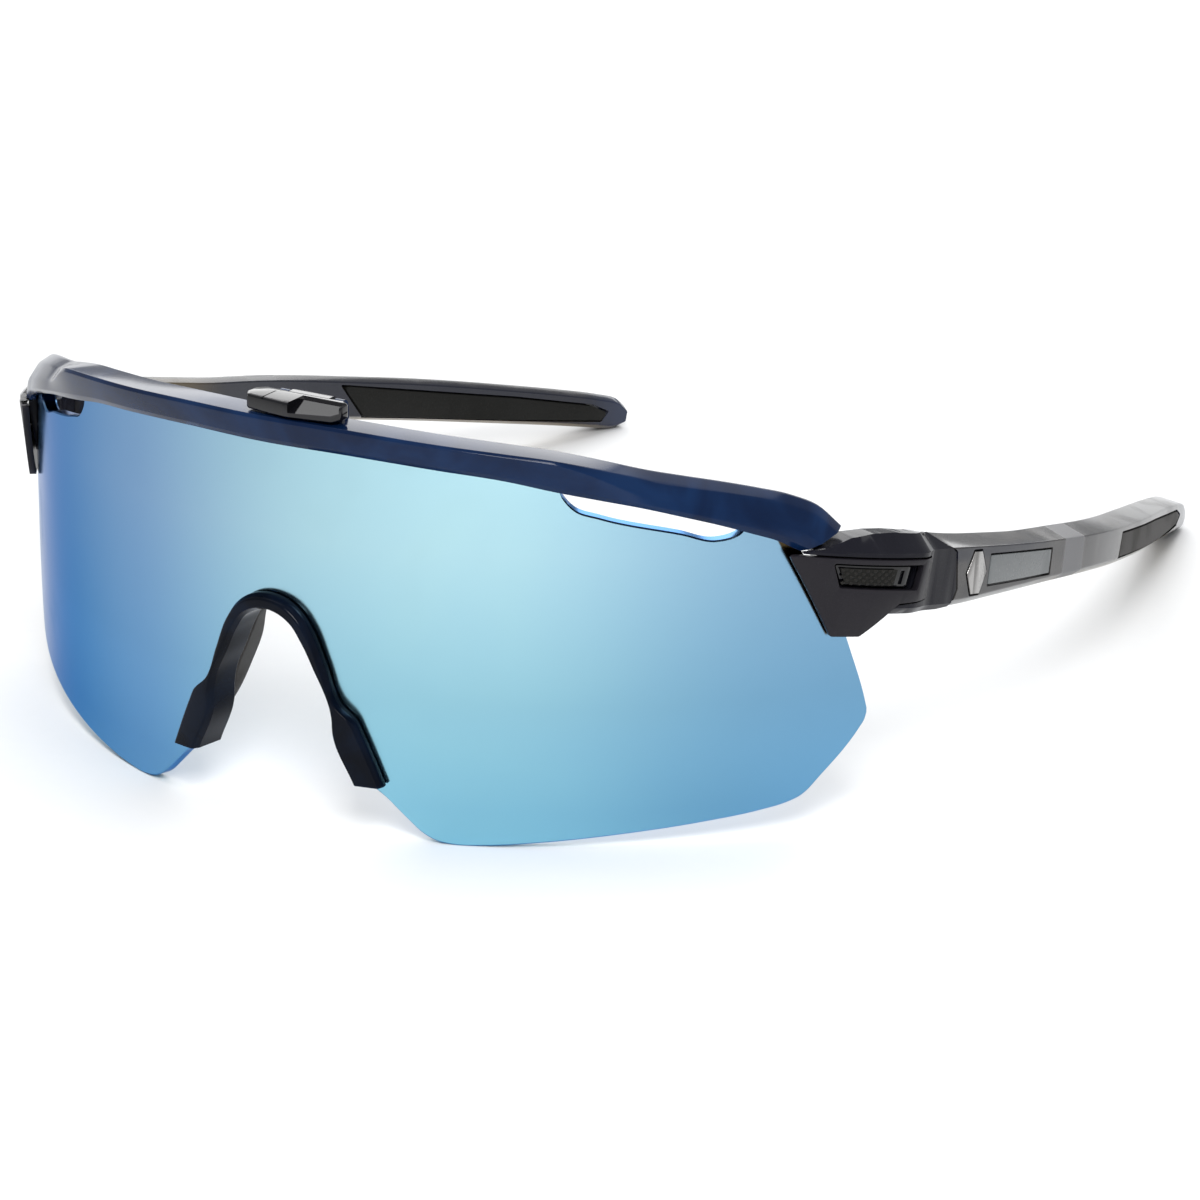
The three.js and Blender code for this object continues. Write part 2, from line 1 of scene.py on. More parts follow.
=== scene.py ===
# %% [markdown]
# # Wraparound sport sunglasses
# A one-piece shield lens hangs in a groove under a navy brow bar. A snap-in nose piece sits in
# the lens's notch, charcoal wings hold the lens's ends, and two smoky temples fold on screws.
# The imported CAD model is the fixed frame: it says where each piece is and how it moves. This
# script makes the fine surface of every piece in the same place, and gives each its finish.

# %% Load the frame
import math

import bmesh
import bpy
import numpy as np
from mathutils import Matrix, Vector


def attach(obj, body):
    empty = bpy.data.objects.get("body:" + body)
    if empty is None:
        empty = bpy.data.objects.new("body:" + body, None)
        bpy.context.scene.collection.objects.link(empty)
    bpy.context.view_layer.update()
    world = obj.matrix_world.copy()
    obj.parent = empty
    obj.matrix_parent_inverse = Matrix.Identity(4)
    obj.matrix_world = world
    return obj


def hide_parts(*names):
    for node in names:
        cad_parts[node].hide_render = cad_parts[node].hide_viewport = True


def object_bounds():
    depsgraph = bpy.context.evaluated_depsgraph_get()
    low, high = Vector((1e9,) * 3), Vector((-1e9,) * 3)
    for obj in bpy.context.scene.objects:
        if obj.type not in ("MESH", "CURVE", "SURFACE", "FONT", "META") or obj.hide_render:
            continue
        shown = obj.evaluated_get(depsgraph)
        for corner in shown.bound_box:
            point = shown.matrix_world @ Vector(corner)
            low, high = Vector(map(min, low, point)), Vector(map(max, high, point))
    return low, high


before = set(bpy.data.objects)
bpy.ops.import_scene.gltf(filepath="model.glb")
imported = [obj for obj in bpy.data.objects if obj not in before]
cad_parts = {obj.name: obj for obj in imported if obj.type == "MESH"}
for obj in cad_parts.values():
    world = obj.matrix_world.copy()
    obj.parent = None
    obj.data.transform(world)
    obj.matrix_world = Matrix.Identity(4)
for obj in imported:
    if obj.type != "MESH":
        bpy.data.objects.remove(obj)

cad_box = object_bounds()
print("CAD box, mm:", [round(c * 1000, 1) for corner in cad_box for c in corner])

# %% [markdown]
# ## Working in millimetres
# Glasses are drawn in millimetres, so the shapes are made in millimetres and scaled to metres
# once, when a piece is finished. Two curves carry everything: the lens's plan curve for the
# front, and the side line that the end blocks and temples are bent along.

# %% Driving dimensions
MM = 0.001
CENTRE_SHIFT = -87.0
LENS_RADIUS = 71.0
LENS_FLATTEN = 4.4e-7
LENS_THICK = 2.0
LENS_HALF = 83.8
GROOVE = 2.6
GAP = 0.3
WRAP_SLOPE = math.radians(13.6)
SIDE_START = (50.0, 36.0)
TEMPLE_THICK = 5.0
FLARE_LOW, FLARE_TOP, FLARE_FULL, FLARE_NONE = 0.6, 1.7, -1.5, 3.5
PIN_X, PIN_ALONG, PIN_R, KNUCKLE_R = 69.6, 1.8, 0.8, 2.1
LATCH_X, LATCH_LOW, LATCH_HIGH, LATCH_PIN_Y, LATCH_PIN_Z = 4.55, 59.45, 61.6, 3.9, 60.1

# %% [markdown]
# ## The lens curve
# In plan the shield follows a curve that is tightest over the nose and opens towards the sides.
# Its turn grows with the distance walked along it, so adding up short steps gives the curve.

# %% Walk the lens curve
PLAN_STEP = 0.25
WALK = np.arange(0, 96 + PLAN_STEP, PLAN_STEP)
TURN = WALK / LENS_RADIUS - LENS_FLATTEN * WALK**3
MID_TURN = (TURN[1:] + TURN[:-1]) / 2
PLAN_X = np.concatenate([[0], np.cumsum(np.cos(MID_TURN)) * PLAN_STEP])
PLAN_Y = np.concatenate([[0], np.cumsum(np.sin(MID_TURN)) * PLAN_STEP])


def on_lens(along, height, out):
    """Point at a distance along the lens, a height and an offset out of its front face."""
    s = abs(along)
    turn = np.interp(s, WALK, TURN)
    x = np.interp(s, WALK, PLAN_X) + out * math.sin(turn)
    y = np.interp(s, WALK, PLAN_Y) - out * math.cos(turn)
    return Vector((math.copysign(x, along), y + CENTRE_SHIFT, height))


print("lens end, mm:", [round(c, 1) for c in on_lens(LENS_HALF, 17, 0)])

# %% [markdown]
# ## The side curve
# The temples fall towards the table by a few degrees and bow in towards the ears. A side piece
# is drawn flat, as (along, up, depth), and then bent round this line, as a moulder would draw it.

# %% Bend into the side curve
SIDE_PLAN = [(20, 49.5), (26, 57), (31.3, 62.7), (36, 66.6), (41.5, 70), (48, 72.3), (56, 73.4),
             (66, 73.8), (83, 73.6), (106.6, 72.2), (130, 67.3), (153.3, 60.6), (176.7, 53.4),
             (190, 49.4)]


def side_line(y):
    """The side line's distance from the middle at a depth y, and its slope there."""
    last = len(SIDE_PLAN) - 1
    i = 0
    while i < last - 1 and SIDE_PLAN[i + 1][0] < y:
        i += 1

    def slope(j):
        (ka, va), (kb, vb) = SIDE_PLAN[max(j - 1, 0)], SIDE_PLAN[min(j + 1, last)]
        return (vb - va) / (kb - ka)

    (k0, v0), (k1, v1) = SIDE_PLAN[i], SIDE_PLAN[i + 1]
    width = k1 - k0
    t = (y - k0) / width
    m0, m1 = slope(i) * width, slope(i + 1) * width
    value = (2*t**3 - 3*t**2 + 1)*v0 + (t**3 - 2*t**2 + t)*m0 + (3*t**2 - 2*t**3)*v1 + (t**3 - t**2)*m1
    grade = ((6*t**2 - 6*t)*v0 + (3*t**2 - 4*t + 1)*m0 + (6*t - 6*t**2)*v1 + (3*t**2 - 2*t)*m1) / width
    return value, grade


def smoothstep(value, low, high):
    t = min(max((value - low) / (high - low), 0), 1)
    return t * t * (3 - 2 * t)


def flare(along, up):
    """How far the front end of a side piece leans out of the side line, most at its top."""
    lean = FLARE_LOW + (FLARE_TOP - FLARE_LOW) * min(max((up + 11) / 11.5, 0), 1)
    return lean * (1 - smoothstep(along, FLARE_FULL, FLARE_NONE))


def side_straight(x, along, up):
    """Point in the sloping side frame, without the bend."""
    y = SIDE_START[0] + along * math.cos(WRAP_SLOPE) + up * math.sin(WRAP_SLOPE)
    z = SIDE_START[1] - along * math.sin(WRAP_SLOPE) + up * math.cos(WRAP_SLOPE)
    return Vector((x, y + CENTRE_SHIFT, z))


def side_bent(along, up, depth):
    """Point on a side piece: depth is measured inwards from the bent outer line."""
    p = side_straight(0, along, up)
    x, grade = side_line(p.y - CENTRE_SHIFT)
    inward = (depth - flare(along, up)) / math.hypot(1, grade)
    return Vector((x - inward, p.y + inward * grade, p.z))


print("temple tip, mm:", [round(c, 1) for c in side_bent(131, -5, 0)])

# %% [markdown]
# ## Mesh helpers
# A piece of this kind is a skin drawn through rings, or a flat plate with pockets cut into it.
# `eased` runs a smooth curve through a few rows of sizes, `rounded` softens the corners of an
# outline, and `skin` joins rings into a closed mesh.

# %% Curves and skins
def eased(rows, step):
    """Rows of numbers along a smooth curve through the given rows, about one step apart."""
    points = np.array(rows, float)
    gaps = np.linalg.norm(np.diff(points, axis=0), axis=1)
    slope = np.gradient(points, np.concatenate([[0], np.cumsum(gaps)]), axis=0)
    result = []
    for i, width in enumerate(gaps):
        count = max(1, round(width / step))
        for t in np.arange(count) / count:
            result.append((2*t**3 - 3*t**2 + 1)*points[i] + (t**3 - 2*t**2 + t)*width*slope[i]
                          + (3*t**2 - 2*t**3)*points[i + 1] + (t**3 - t**2)*width*slope[i + 1])
    return np.array(result + [points[-1]])


def both_halves(rows, flipped):
    """A symmetric list from its right half: the mirror images, then the rows."""
    signs = [-1 if i in flipped else 1 for i in range(len(rows[0]))]
    return [tuple(v * s for v, s in zip(row, signs)) for row in rows[:0:-1]] + list(rows)


def rounded(points, radii, steps=3):
    """A closed outline with its corners softened; radii is one number or one for each corner."""
    corners = [Vector(p) for p in points]
    radii = radii if isinstance(radii, (list, tuple)) else [radii] * len(corners)
    result = []
    for i, p in enumerate(corners):
        before, after = corners[i - 1] - p, corners[(i + 1) % len(corners)] - p
        half = before.angle(after) / 2
        reach = min(radii[i] / math.tan(half), 0.45 * min(before.length, after.length))
        a, b = p + before.normalized() * reach, p + after.normalized() * reach
        for k in range(steps + 1):
            t = k / steps
            result.append(a * (1 - t)**2 + p * 2 * t * (1 - t) + b * t**2)
    return result


def skin(rings, finishes=None):
    """A closed mesh through rings of points, with flat ends; finishes gives each strip's slot."""
    count = len(rings[0])
    faces, slots = [], []
    for i in range(len(rings) - 1):
        for j in range(count):
            k = (j + 1) % count
            faces.append((i * count + j, i * count + k, (i + 1) * count + k, (i + 1) * count + j))
            slots.append(finishes[j] if finishes else 0)
    last = (len(rings) - 1) * count
    faces += [tuple(range(count)), tuple(range(last, last + count))]
    slots += [max(slots)] * 2
    mesh = bpy.data.meshes.new("skin")
    mesh.from_pydata([p for ring in rings for p in ring], [], faces)
    mesh.polygons.foreach_set("material_index", slots)
    return closed(mesh)


def closed(mesh):
    """Turns a closed mesh's faces outwards and welds points that coincide."""
    work = bmesh.new()
    work.from_mesh(mesh)
    bmesh.ops.remove_doubles(work, verts=work.verts, dist=1e-4)
    bmesh.ops.recalc_face_normals(work, faces=work.faces)
    work.to_mesh(mesh)
    work.free()
    return mesh


# %% [markdown]
# ## Cutting, bevelling and bending
# Pockets, hinge gaps and pin holes are boolean cuts. The bevel comes while the piece is still
# flat, because its edges are clean there. Then thin slices let the flat piece bend smoothly.

# %% Cuts, bevels and bends
def through(mesh, kind, other=None, **settings):
    """The mesh after one modifier."""
    target = bpy.data.objects.new("work", mesh)
    bpy.context.scene.collection.objects.link(target)
    modifier = target.modifiers.new("work", kind)
    for key, value in settings.items():
        setattr(modifier, key, value)
    if other:
        tool = bpy.data.objects.new("tool", other)
        bpy.context.scene.collection.objects.link(tool)
        modifier.object = tool
    bpy.context.view_layer.update()
    ready = target.evaluated_get(bpy.context.evaluated_depsgraph_get())
    result = bpy.data.meshes.new_from_object(ready)
    bpy.data.objects.remove(target)
    if other:
        bpy.data.objects.remove(tool)
    return result


def combined(mesh, add=(), remove=()):
    for piece in add:
        mesh = through(mesh, "BOOLEAN", piece, operation="UNION", solver="EXACT")
    for piece in remove:
        mesh = through(mesh, "BOOLEAN", piece, operation="DIFFERENCE", solver="EXACT")
    return mesh


def bevelled(mesh, width, segments=2):
    work = bmesh.new()
    work.from_mesh(mesh)
    bmesh.ops.dissolve_limit(work, angle_limit=math.radians(1), verts=work.verts, edges=work.edges)
    work.to_mesh(mesh)
    work.free()
    return through(mesh, "BEVEL", width=width, segments=segments, limit_method="ANGLE",
                   angle_limit=math.radians(24), miter_outer="MITER_ARC")


def bent(mesh, step):
    """Slices a flat side piece and bends it round the side line."""
    work = bmesh.new()
    work.from_mesh(mesh)
    xs = [v.co.x for v in work.verts]
    for k in range(math.ceil(min(xs) / step), math.floor(max(xs) / step) + 1):
        everything = work.verts[:] + work.edges[:] + work.faces[:]
        bmesh.ops.bisect_plane(work, geom=everything, dist=1e-5, plane_co=(k * step, 0, 0),
                               plane_no=(1, 0, 0))
    for v in work.verts:
        v.co = side_bent(*v.co)
    bmesh.ops.recalc_face_normals(work, faces=work.faces)
    work.to_mesh(mesh)
    work.free()
    return mesh


def plate(outline, near, far, corner=0.25):
    """Flat plate in the side frame between two depths, with softened corners."""
    flat = rounded(outline, corner) if corner else [Vector(p) for p in outline]
    return skin([[Vector((p.x, p.y, depth)) for p in flat] for depth in (near, far)])


def rail(outline, start, end):
    """Prism along the temple from a (depth, up) outline."""
    return skin([[Vector((along, up, depth)) for depth, up in outline] for along in (start, end)])


def grown(outline, margin):
    """The same outline moved out by a margin, for a pocket that clears the piece it holds."""
    points = [Vector(p) for p in outline]
    area = sum(a.cross(b) for a, b in zip(points, points[1:] + points[:1]))
    turn = math.copysign(1, area)
    result = []
    for i, p in enumerate(points):
        u = (p - points[i - 1]).normalized()
        v = (points[(i + 1) % len(points)] - p).normalized()
        nu, nv = Vector((u.y, -u.x)) * turn, Vector((v.y, -v.x)) * turn
        middle = (nu + nv).normalized()
        result.append(p + middle * margin / max(middle.dot(nv), 0.5))
    return result


def side_box(xs, alongs, ups):
    corners = [(alongs[0], ups[0]), (alongs[1], ups[0]), (alongs[1], ups[1]), (alongs[0], ups[1])]
    return skin([[side_straight(x, along, up) for along, up in corners] for x in xs])


def side_round(radius, low, high, edge=0.0, sides=40):
    """Upright round bar about the hinge pin, with a small chamfer at both ends."""
    levels = [(radius - edge, low), (radius, low + edge), (radius, high - edge), (radius - edge, high)]
    levels = levels if edge else [levels[0], levels[3]]
    turns = [2 * math.pi * k / sides for k in range(sides)]
    return skin([[side_straight(PIN_X + r * math.cos(t), PIN_ALONG + r * math.sin(t), up) for t in turns]
                 for r, up in levels])


def mirrored(mesh):
    other = mesh.copy()
    other.transform(Matrix.Scale(-1, 4, (1, 0, 0)))
    other.flip_normals()
    return other


def add_piece(name, mesh, body, finishes, nodes, sharp=32):
    """Scales a mesh to metres and hands it to the frame as a piece.

    Clearing the slots also sets every face back to the first one, so a piece shows its first
    finish all over, and its other finishes are only listed on it.
    """
    mesh.transform(Matrix.Scale(MM, 4))
    mesh.materials.clear()
    for finish in finishes:
        mesh.materials.append(finish)
    mesh.shade_smooth()
    mesh.set_sharp_from_angle(angle=math.radians(sharp))
    piece = bpy.data.objects.new(name, mesh)
    mesh.name = name
    bpy.context.scene.collection.objects.link(piece)
    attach(piece, body)
    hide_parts(*nodes)
    size = [round(d * 1000, 1) for d in piece.dimensions]
    print(f"{name}: {len(mesh.polygons)} faces, {size} mm, on {body}")
    return piece


def add_pair(name, mesh, body, finishes, sharp=32):
    """The same piece on both sides; a body or name ending in _ gets left or right added."""
    for side, shape in (("right", mirrored(mesh)), ("left", mesh)):
        where = f"{body}{side}" if body.endswith("_") else body
        add_piece(f"{name}_{side}_shell", shape, where, finishes, [f"{name}_{side}"], sharp)

# %% [markdown]
# ## Camera
# A long lens far away keeps the perspective calm, as in a catalogue picture. The camera looks a
# little down on the glasses from the wearer's left front.

# %% Place the camera
CAMERA_TURN, CAMERA_RISE = math.radians(31.12), math.radians(19.76)
CAMERA_TARGET = Vector((0.03372, -0.0570, 0.02915))
CAMERA_DISTANCE = 0.75644
away = Vector((math.sin(CAMERA_TURN) * math.cos(CAMERA_RISE),
               -math.cos(CAMERA_TURN) * math.cos(CAMERA_RISE), math.sin(CAMERA_RISE)))
camera = bpy.data.objects.new("camera", bpy.data.cameras.new("camera"))
camera.data.lens = 165.59
camera.data.sensor_width = 36
camera.location = CAMERA_TARGET + away * CAMERA_DISTANCE
camera.rotation_euler = away.to_track_quat("Z", "Y").to_euler()
bpy.context.scene.collection.objects.link(camera)
bpy.context.scene.camera = camera
print("camera at, mm:", [round(c * 1000) for c in camera.location])

# %% [markdown]
# ## Shared effects as node groups
# Moulded plastic and rubber share a few habits: a fine grain, soft handling marks, a flow
# mottling inside tinted plastic and lighter edges, partly wear and partly a painted highlight
# where corners catch light. Each is a small node group with its own inputs, built once. It gives
# only masks and values, and the shader stays in each material.

# %% Start a node group
def new_group(name, inputs, outputs):
    group = bpy.data.node_groups.new(name, "ShaderNodeTree")
    for label, value in inputs.items():
        socket = group.interface.new_socket(label, in_out="INPUT", socket_type="NodeSocketFloat")
        socket.default_value = value
    for label in outputs:
        group.interface.new_socket(label, in_out="OUTPUT", socket_type="NodeSocketFloat")
    start = group.nodes.new("NodeGroupInput")
    end = group.nodes.new("NodeGroupOutput")
    return group, start, end


def node(tree, kind, settings=None, **sockets):
    """A node with its settings, and with its inputs set to a value or linked to another socket."""
    made = tree.nodes.new("ShaderNode" + kind)
    for key, value in (settings or {}).items():
        setattr(made, key, value)
    for key, value in sockets.items():
        place = made.inputs[int(key[1:]) if key[1:].isdigit() else key.replace("_", " ")]
        if isinstance(value, bpy.types.NodeSocket):
            tree.links.new(value, place)
        else:
            place.default_value = value
    return made


def maths(tree, operation, a, b=0.0, c=0.0, clamp=False):
    return node(tree, "Math", {"operation": operation, "use_clamp": clamp}, i0=a, i1=b, i2=c).outputs[0]


def band(tree, value, low, high, start=0.0, end=1.0):
    """Smooth step of a value from start to end between two limits."""
    settings = {"interpolation_type": "SMOOTHSTEP"}
    return node(tree, "MapRange", settings, Value=value, From_Min=low, From_Max=high,
                To_Min=start, To_Max=end).outputs["Result"]


# %% Grain: the fine texture of a mould surface
grain, start, end = new_group("moulded_grain", {"Size": 0.2, "Coarse": 0.3}, ["Height", "Speckle"])
spot = node(grain, "TexCoord").outputs["Object"]
fineness = maths(grain, "DIVIDE", 1000.0, start.outputs["Size"])
fine = node(grain, "TexNoise", Vector=spot, Scale=fineness, Detail=3.0, Roughness=0.6).outputs["Fac"]
pits = node(grain, "TexVoronoi", {"feature": "SMOOTH_F1"}, Vector=spot, Scale=fineness)
mixed = node(grain, "Mix", Factor=start.outputs["Coarse"], A=fine,
             B=pits.outputs["Distance"]).outputs["Result"]
grain.links.new(mixed, end.inputs["Height"])
grain.links.new(band(grain, fine, 0.56, 0.7), end.inputs["Speckle"])
print("group:", grain.name)

# %% Handling: soft smudges and fine hair scratches that change the gloss
handling, start, end = new_group("handling_marks", {"Smudges": 1.0, "Scratches": 1.0},
                                 ["Gloss Loss", "Dust"])
spot = node(handling, "TexCoord").outputs["Object"]
smear = node(handling, "TexNoise", Vector=spot, Scale=70.0, Detail=4.0, Distortion=0.6).outputs["Fac"]
smear = maths(handling, "MULTIPLY", band(handling, smear, 0.45, 0.75), start.outputs["Smudges"])
stretch = node(handling, "Mapping", Vector=spot, Scale=(60.0, 900.0, 260.0), Rotation=(0.4, 0.2, 0.7))
hair = node(handling, "TexNoise", Vector=stretch.outputs[0], Scale=5.0, Detail=2.0).outputs["Fac"]
hair = maths(handling, "MULTIPLY", band(handling, hair, 0.68, 0.72), start.outputs["Scratches"])
handling.links.new(maths(handling, "MAXIMUM", smear, hair), end.inputs["Gloss Loss"])
dust = node(handling, "TexVoronoi", Vector=spot, Scale=900.0).outputs["Distance"]
handling.links.new(band(handling, dust, 0.16, 0.08), end.inputs["Dust"])
print("group:", handling.name)

# %% Flow: the cloudy mottling inside tinted see-through plastic
flow, start, end = new_group("tint_flow", {"Size": 12.0}, ["Cloud"])
spot = node(flow, "TexCoord").outputs["Object"]
size = maths(flow, "DIVIDE", 1000.0, start.outputs["Size"])
cloud = node(flow, "TexNoise", Vector=spot, Scale=size, Detail=3.0, Distortion=1.2).outputs["Fac"]
flow.links.new(band(flow, cloud, 0.35, 0.68), end.inputs["Cloud"])
print("group:", flow.name)

# %% Edges: sharp corners made lighter, as wear and as a painted highlight where they catch light
edges, start, end = new_group("edge_wear_and_sheen", {"Low": 0.52, "High": 0.62}, ["Edge"])
point = node(edges, "NewGeometry").outputs["Pointiness"]
settings = {"interpolation_type": "SMOOTHSTEP"}
edge_lightening = node(edges, "MapRange", settings, Value=point, From_Min=start.outputs["Low"],
           From_Max=start.outputs["High"])
edges.links.new(edge_lightening.outputs["Result"], end.inputs["Edge"])
print("group:", edges.name)

# %% Side frame: millimetres along and above the sloping temple line
side_frame, start, end = new_group("side_frame", {"Unit": 1000.0}, ["Along", "Up"])
spot = node(side_frame, "TexCoord").outputs["Object"]
base = side_straight(0, 0, 0) * MM
offset = node(side_frame, "VectorMath", {"operation": "SUBTRACT"}, i0=spot,
              i1=(0.0, base.y, base.z)).outputs[0]
for label, direction in (("Along", (0, math.cos(WRAP_SLOPE), -math.sin(WRAP_SLOPE))),
                         ("Up", (0, math.sin(WRAP_SLOPE), math.cos(WRAP_SLOPE)))):
    dot = node(side_frame, "VectorMath", {"operation": "DOT_PRODUCT"}, i0=offset,
               i1=direction).outputs["Value"]
    side_frame.links.new(maths(side_frame, "MULTIPLY", dot, start.outputs["Unit"]), end.inputs[label])
print("group:", side_frame.name)


# %% Start a material
def new_material(name, **settings):
    """A material with a Principled shader; settings are the values that stay the same all over."""
    material = bpy.data.materials.new(name)
    material.use_nodes = True
    tree = material.node_tree
    shader = tree.nodes["Principled BSDF"]
    for key, value in settings.items():
        shader.inputs[key.replace("_", " ")].default_value = value
    return material, tree, shader


def placed(tree, group, **values):
    made = tree.nodes.new("ShaderNodeGroup")
    made.node_tree = group
    for key, value in values.items():
        made.inputs[key].default_value = value
    return made.outputs


def mixed_colour(tree, factor, a, b):
    made = node(tree, "Mix", {"data_type": "RGBA"}, i0=factor)
    for index, value in ((6, a), (7, b)):
        if isinstance(value, bpy.types.NodeSocket):
            tree.links.new(value, made.inputs[index])
        else:
            made.inputs[index].default_value = (*value, 1)
    return made.outputs[2]


def bumped(tree, shader, height, distance):
    bump = node(tree, "Bump", Height=height, Distance=distance, Strength=1.0)
    tree.links.new(bump.outputs["Normal"], shader.inputs["Normal"])


def gloss(tree, shader, low, high, smudges=1.0, scratches=1.0):
    """Roughness that rises from low to high where the surface has been handled."""
    loss = placed(tree, handling, Smudges=smudges, Scratches=scratches)["Gloss Loss"]
    tree.links.new(band(tree, loss, 0.0, 1.0, low, high), shader.inputs["Roughness"])


# %% [markdown]
# ## Lens finish
# The shield is amber-brown polycarbonate with an ice-blue mirror on its front. The mirror is a
# metal-like film, so it reflects the studio with its own tint, bluer where it turns away. Its
# colour is also painted by position: pale cyan over the middle and bluer towards the ends, a
# painted reflection of the bright studio, and lighter and bluer low down, a painted stand-in for
# the reflected floor. A narrow bare strip of amber shows beside each wing.
# The amber finishes for the cut edge and the back are made here too, but `add_piece` leaves the
# mirror on every face of the lens.

# %% Lens mirror, edge and back
lens_mirror, tree, shader = new_material("lens_mirror_blue", Metallic=1.0,
                                         Specular_Tint=(0.34, 0.44, 0.66, 1))
spot = node(tree, "TexCoord").outputs["Object"]
parts = node(tree, "SeparateXYZ", Vector=spot).outputs
# Painted reflection: pale cyan over the middle and bluer towards the ends, set by position, stands in for
# the studio's bright reflection.
across = maths(tree, "ABSOLUTE", parts["X"])
painted_glare_ramp = node(tree, "ValToRGB", Fac=band(tree, across, 0.010, 0.070))
ramp = painted_glare_ramp.color_ramp
ramp.interpolation = "B_SPLINE"
ramp.elements[0].color = (0.414, 0.648, 0.70, 1)
ramp.elements[1].color = (0.178, 0.324, 0.486, 1)
middle = ramp.elements.new(0.5)
middle.color = (0.384, 0.61, 0.684, 1)
away = node(tree, "LayerWeight", Blend=0.5).outputs["Facing"]
turned = mixed_colour(tree, band(tree, away, 0.08, 0.5), painted_glare_ramp.outputs["Color"], (0.228, 0.378, 0.576))
film = placed(tree, flow, Size=45.0)["Cloud"]
mirror_tint_with_painted_glare = mixed_colour(tree, maths(tree, "MULTIPLY", film, 0.1), turned, (0.26, 0.45, 0.66))
# Painted light: a height gradient, lighter and bluer low down and greyer at the top, stands in for floor
# light that the contact shadow takes out of the reflection.
painted_height_light = node(tree, "ValToRGB", Fac=maths(tree, "DIVIDE", parts["Z"], 0.042))
painted_height_light.color_ramp.elements[0].color = (0.66, 0.92, 1.0, 1)
painted_height_light.color_ramp.elements[1].color = (0.833, 0.833, 0.833, 1)
painted_height_light.color_ramp.elements.new(0.12).color = (0.59, 0.82, 0.93, 1)
painted_height_light.color_ramp.elements.new(0.48).color = (0.617, 0.746, 0.80, 1)
settings = {"data_type": "RGBA", "blend_type": "MULTIPLY"}
painted_height_mix = node(tree, "Mix", settings, i0=1.0, i6=mirror_tint_with_painted_glare, i7=painted_height_light.outputs["Color"])
mirror_tint_with_painted_glare = painted_height_mix.outputs[2]
place = placed(tree, side_frame)
reach = maths(tree, "MULTIPLY_ADD", place["Along"], 0.828, 19.9 * 0.828 - 0.5 * 0.5617)
reach = maths(tree, "MULTIPLY_ADD", place["Up"], 0.5617, reach)
bare = maths(tree, "MULTIPLY", band(tree, reach, -0.05, 0.15), band(tree, parts["Z"], 0.0282, 0.0287))
mirror_tint_with_painted_glare = mixed_colour(tree, bare, mirror_tint_with_painted_glare, (0.050, 0.036, 0.017))
tree.links.new(mirror_tint_with_painted_glare, shader.inputs["Base Color"])
gloss(tree, shader, 0.16, 0.22, scratches=0.3)

lens_edge, tree, shader = new_material("lens_edge_amber", Specular_IOR_Level=0.2)
cut = placed(tree, grain, Size=0.25)["Height"]
tone = mixed_colour(tree, placed(tree, flow, Size=9.0)["Cloud"],
                    (0.045, 0.020, 0.014), (0.085, 0.032, 0.018))
tree.links.new(tone, shader.inputs["Base Color"])
gloss(tree, shader, 0.25, 0.4)
bumped(tree, shader, cut, 0.00003)

lens_back, tree, shader = new_material("lens_back_amber", Specular_IOR_Level=0.5)
tone = mixed_colour(tree, placed(tree, flow, Size=30.0)["Cloud"],
                    (0.060, 0.028, 0.014), (0.085, 0.040, 0.019))
tree.links.new(tone, shader.inputs["Base Color"])
gloss(tree, shader, 0.03, 0.12, scratches=0.5)
print("lens finishes:", lens_mirror.name, lens_edge.name, lens_back.name)

# %% [markdown]
# ## Navy frame plastic
# The brow bar and nose piece are glossy, deep navy nylon with a little depth, though here they
# are opaque. A low specular gives the sharp reflections, and the tint clouds slightly.

# %% Navy brow and nose finish
def navy_plastic(name, dark, bright, specular, cloud_size):
    material, tree, shader = new_material(name, Specular_IOR_Level=specular)
    cloud = placed(tree, flow, Size=cloud_size)["Cloud"]
    body = mixed_colour(tree, cloud, dark, bright)
    # Painted highlight: sharp edges are mixed towards a lighter blue, in place of light caught on the
    # corners.
    edge = maths(tree, "MULTIPLY", placed(tree, edges, Low=0.53, High=0.66)["Edge"], 0.6)
    tree.links.new(mixed_colour(tree, edge, body, (0.02, 0.05, 0.12)), shader.inputs["Base Color"])
    gloss(tree, shader, 0.12, 0.22)
    return material


brow_navy = navy_plastic("brow_navy_gloss", (0.002, 0.009, 0.034), (0.004, 0.018, 0.062), 0.16, 14.0)
nose_navy = navy_plastic("nose_navy_gloss", (0.002, 0.003, 0.006), (0.003, 0.006, 0.014), 0.08, 10.0)
print("navy finishes:", brow_navy.name, nose_navy.name)

# %% [markdown]
# ## Smoky temple plastic
# The temples are tinted, partly see-through plastic. The tint changes along them: a frosted
# ring and a bluish tip. Light and shade are painted on as well: a painted shade under the crease,
# painted shade over the inner face, a painted warm glow along the lower edge, where light
# gathers, and a painted glow high on the inner face near the front. The side-frame group tells
# how far along each point is.

# %% Smoke finish
smoke, tree, shader = new_material("smoke_clear", Transmission_Weight=0.12, IOR=1.49,
                                   Specular_IOR_Level=0.35)
place = placed(tree, side_frame)
cloud = placed(tree, flow, Size=9.0)["Cloud"]
body = mixed_colour(tree, cloud, (0.030, 0.029, 0.031), (0.062, 0.058, 0.056))
along, up = place["Along"], place["Up"]
frost = maths(tree, "MULTIPLY", band(tree, along, 44.2, 45.0), band(tree, along, 52.2, 51.4))
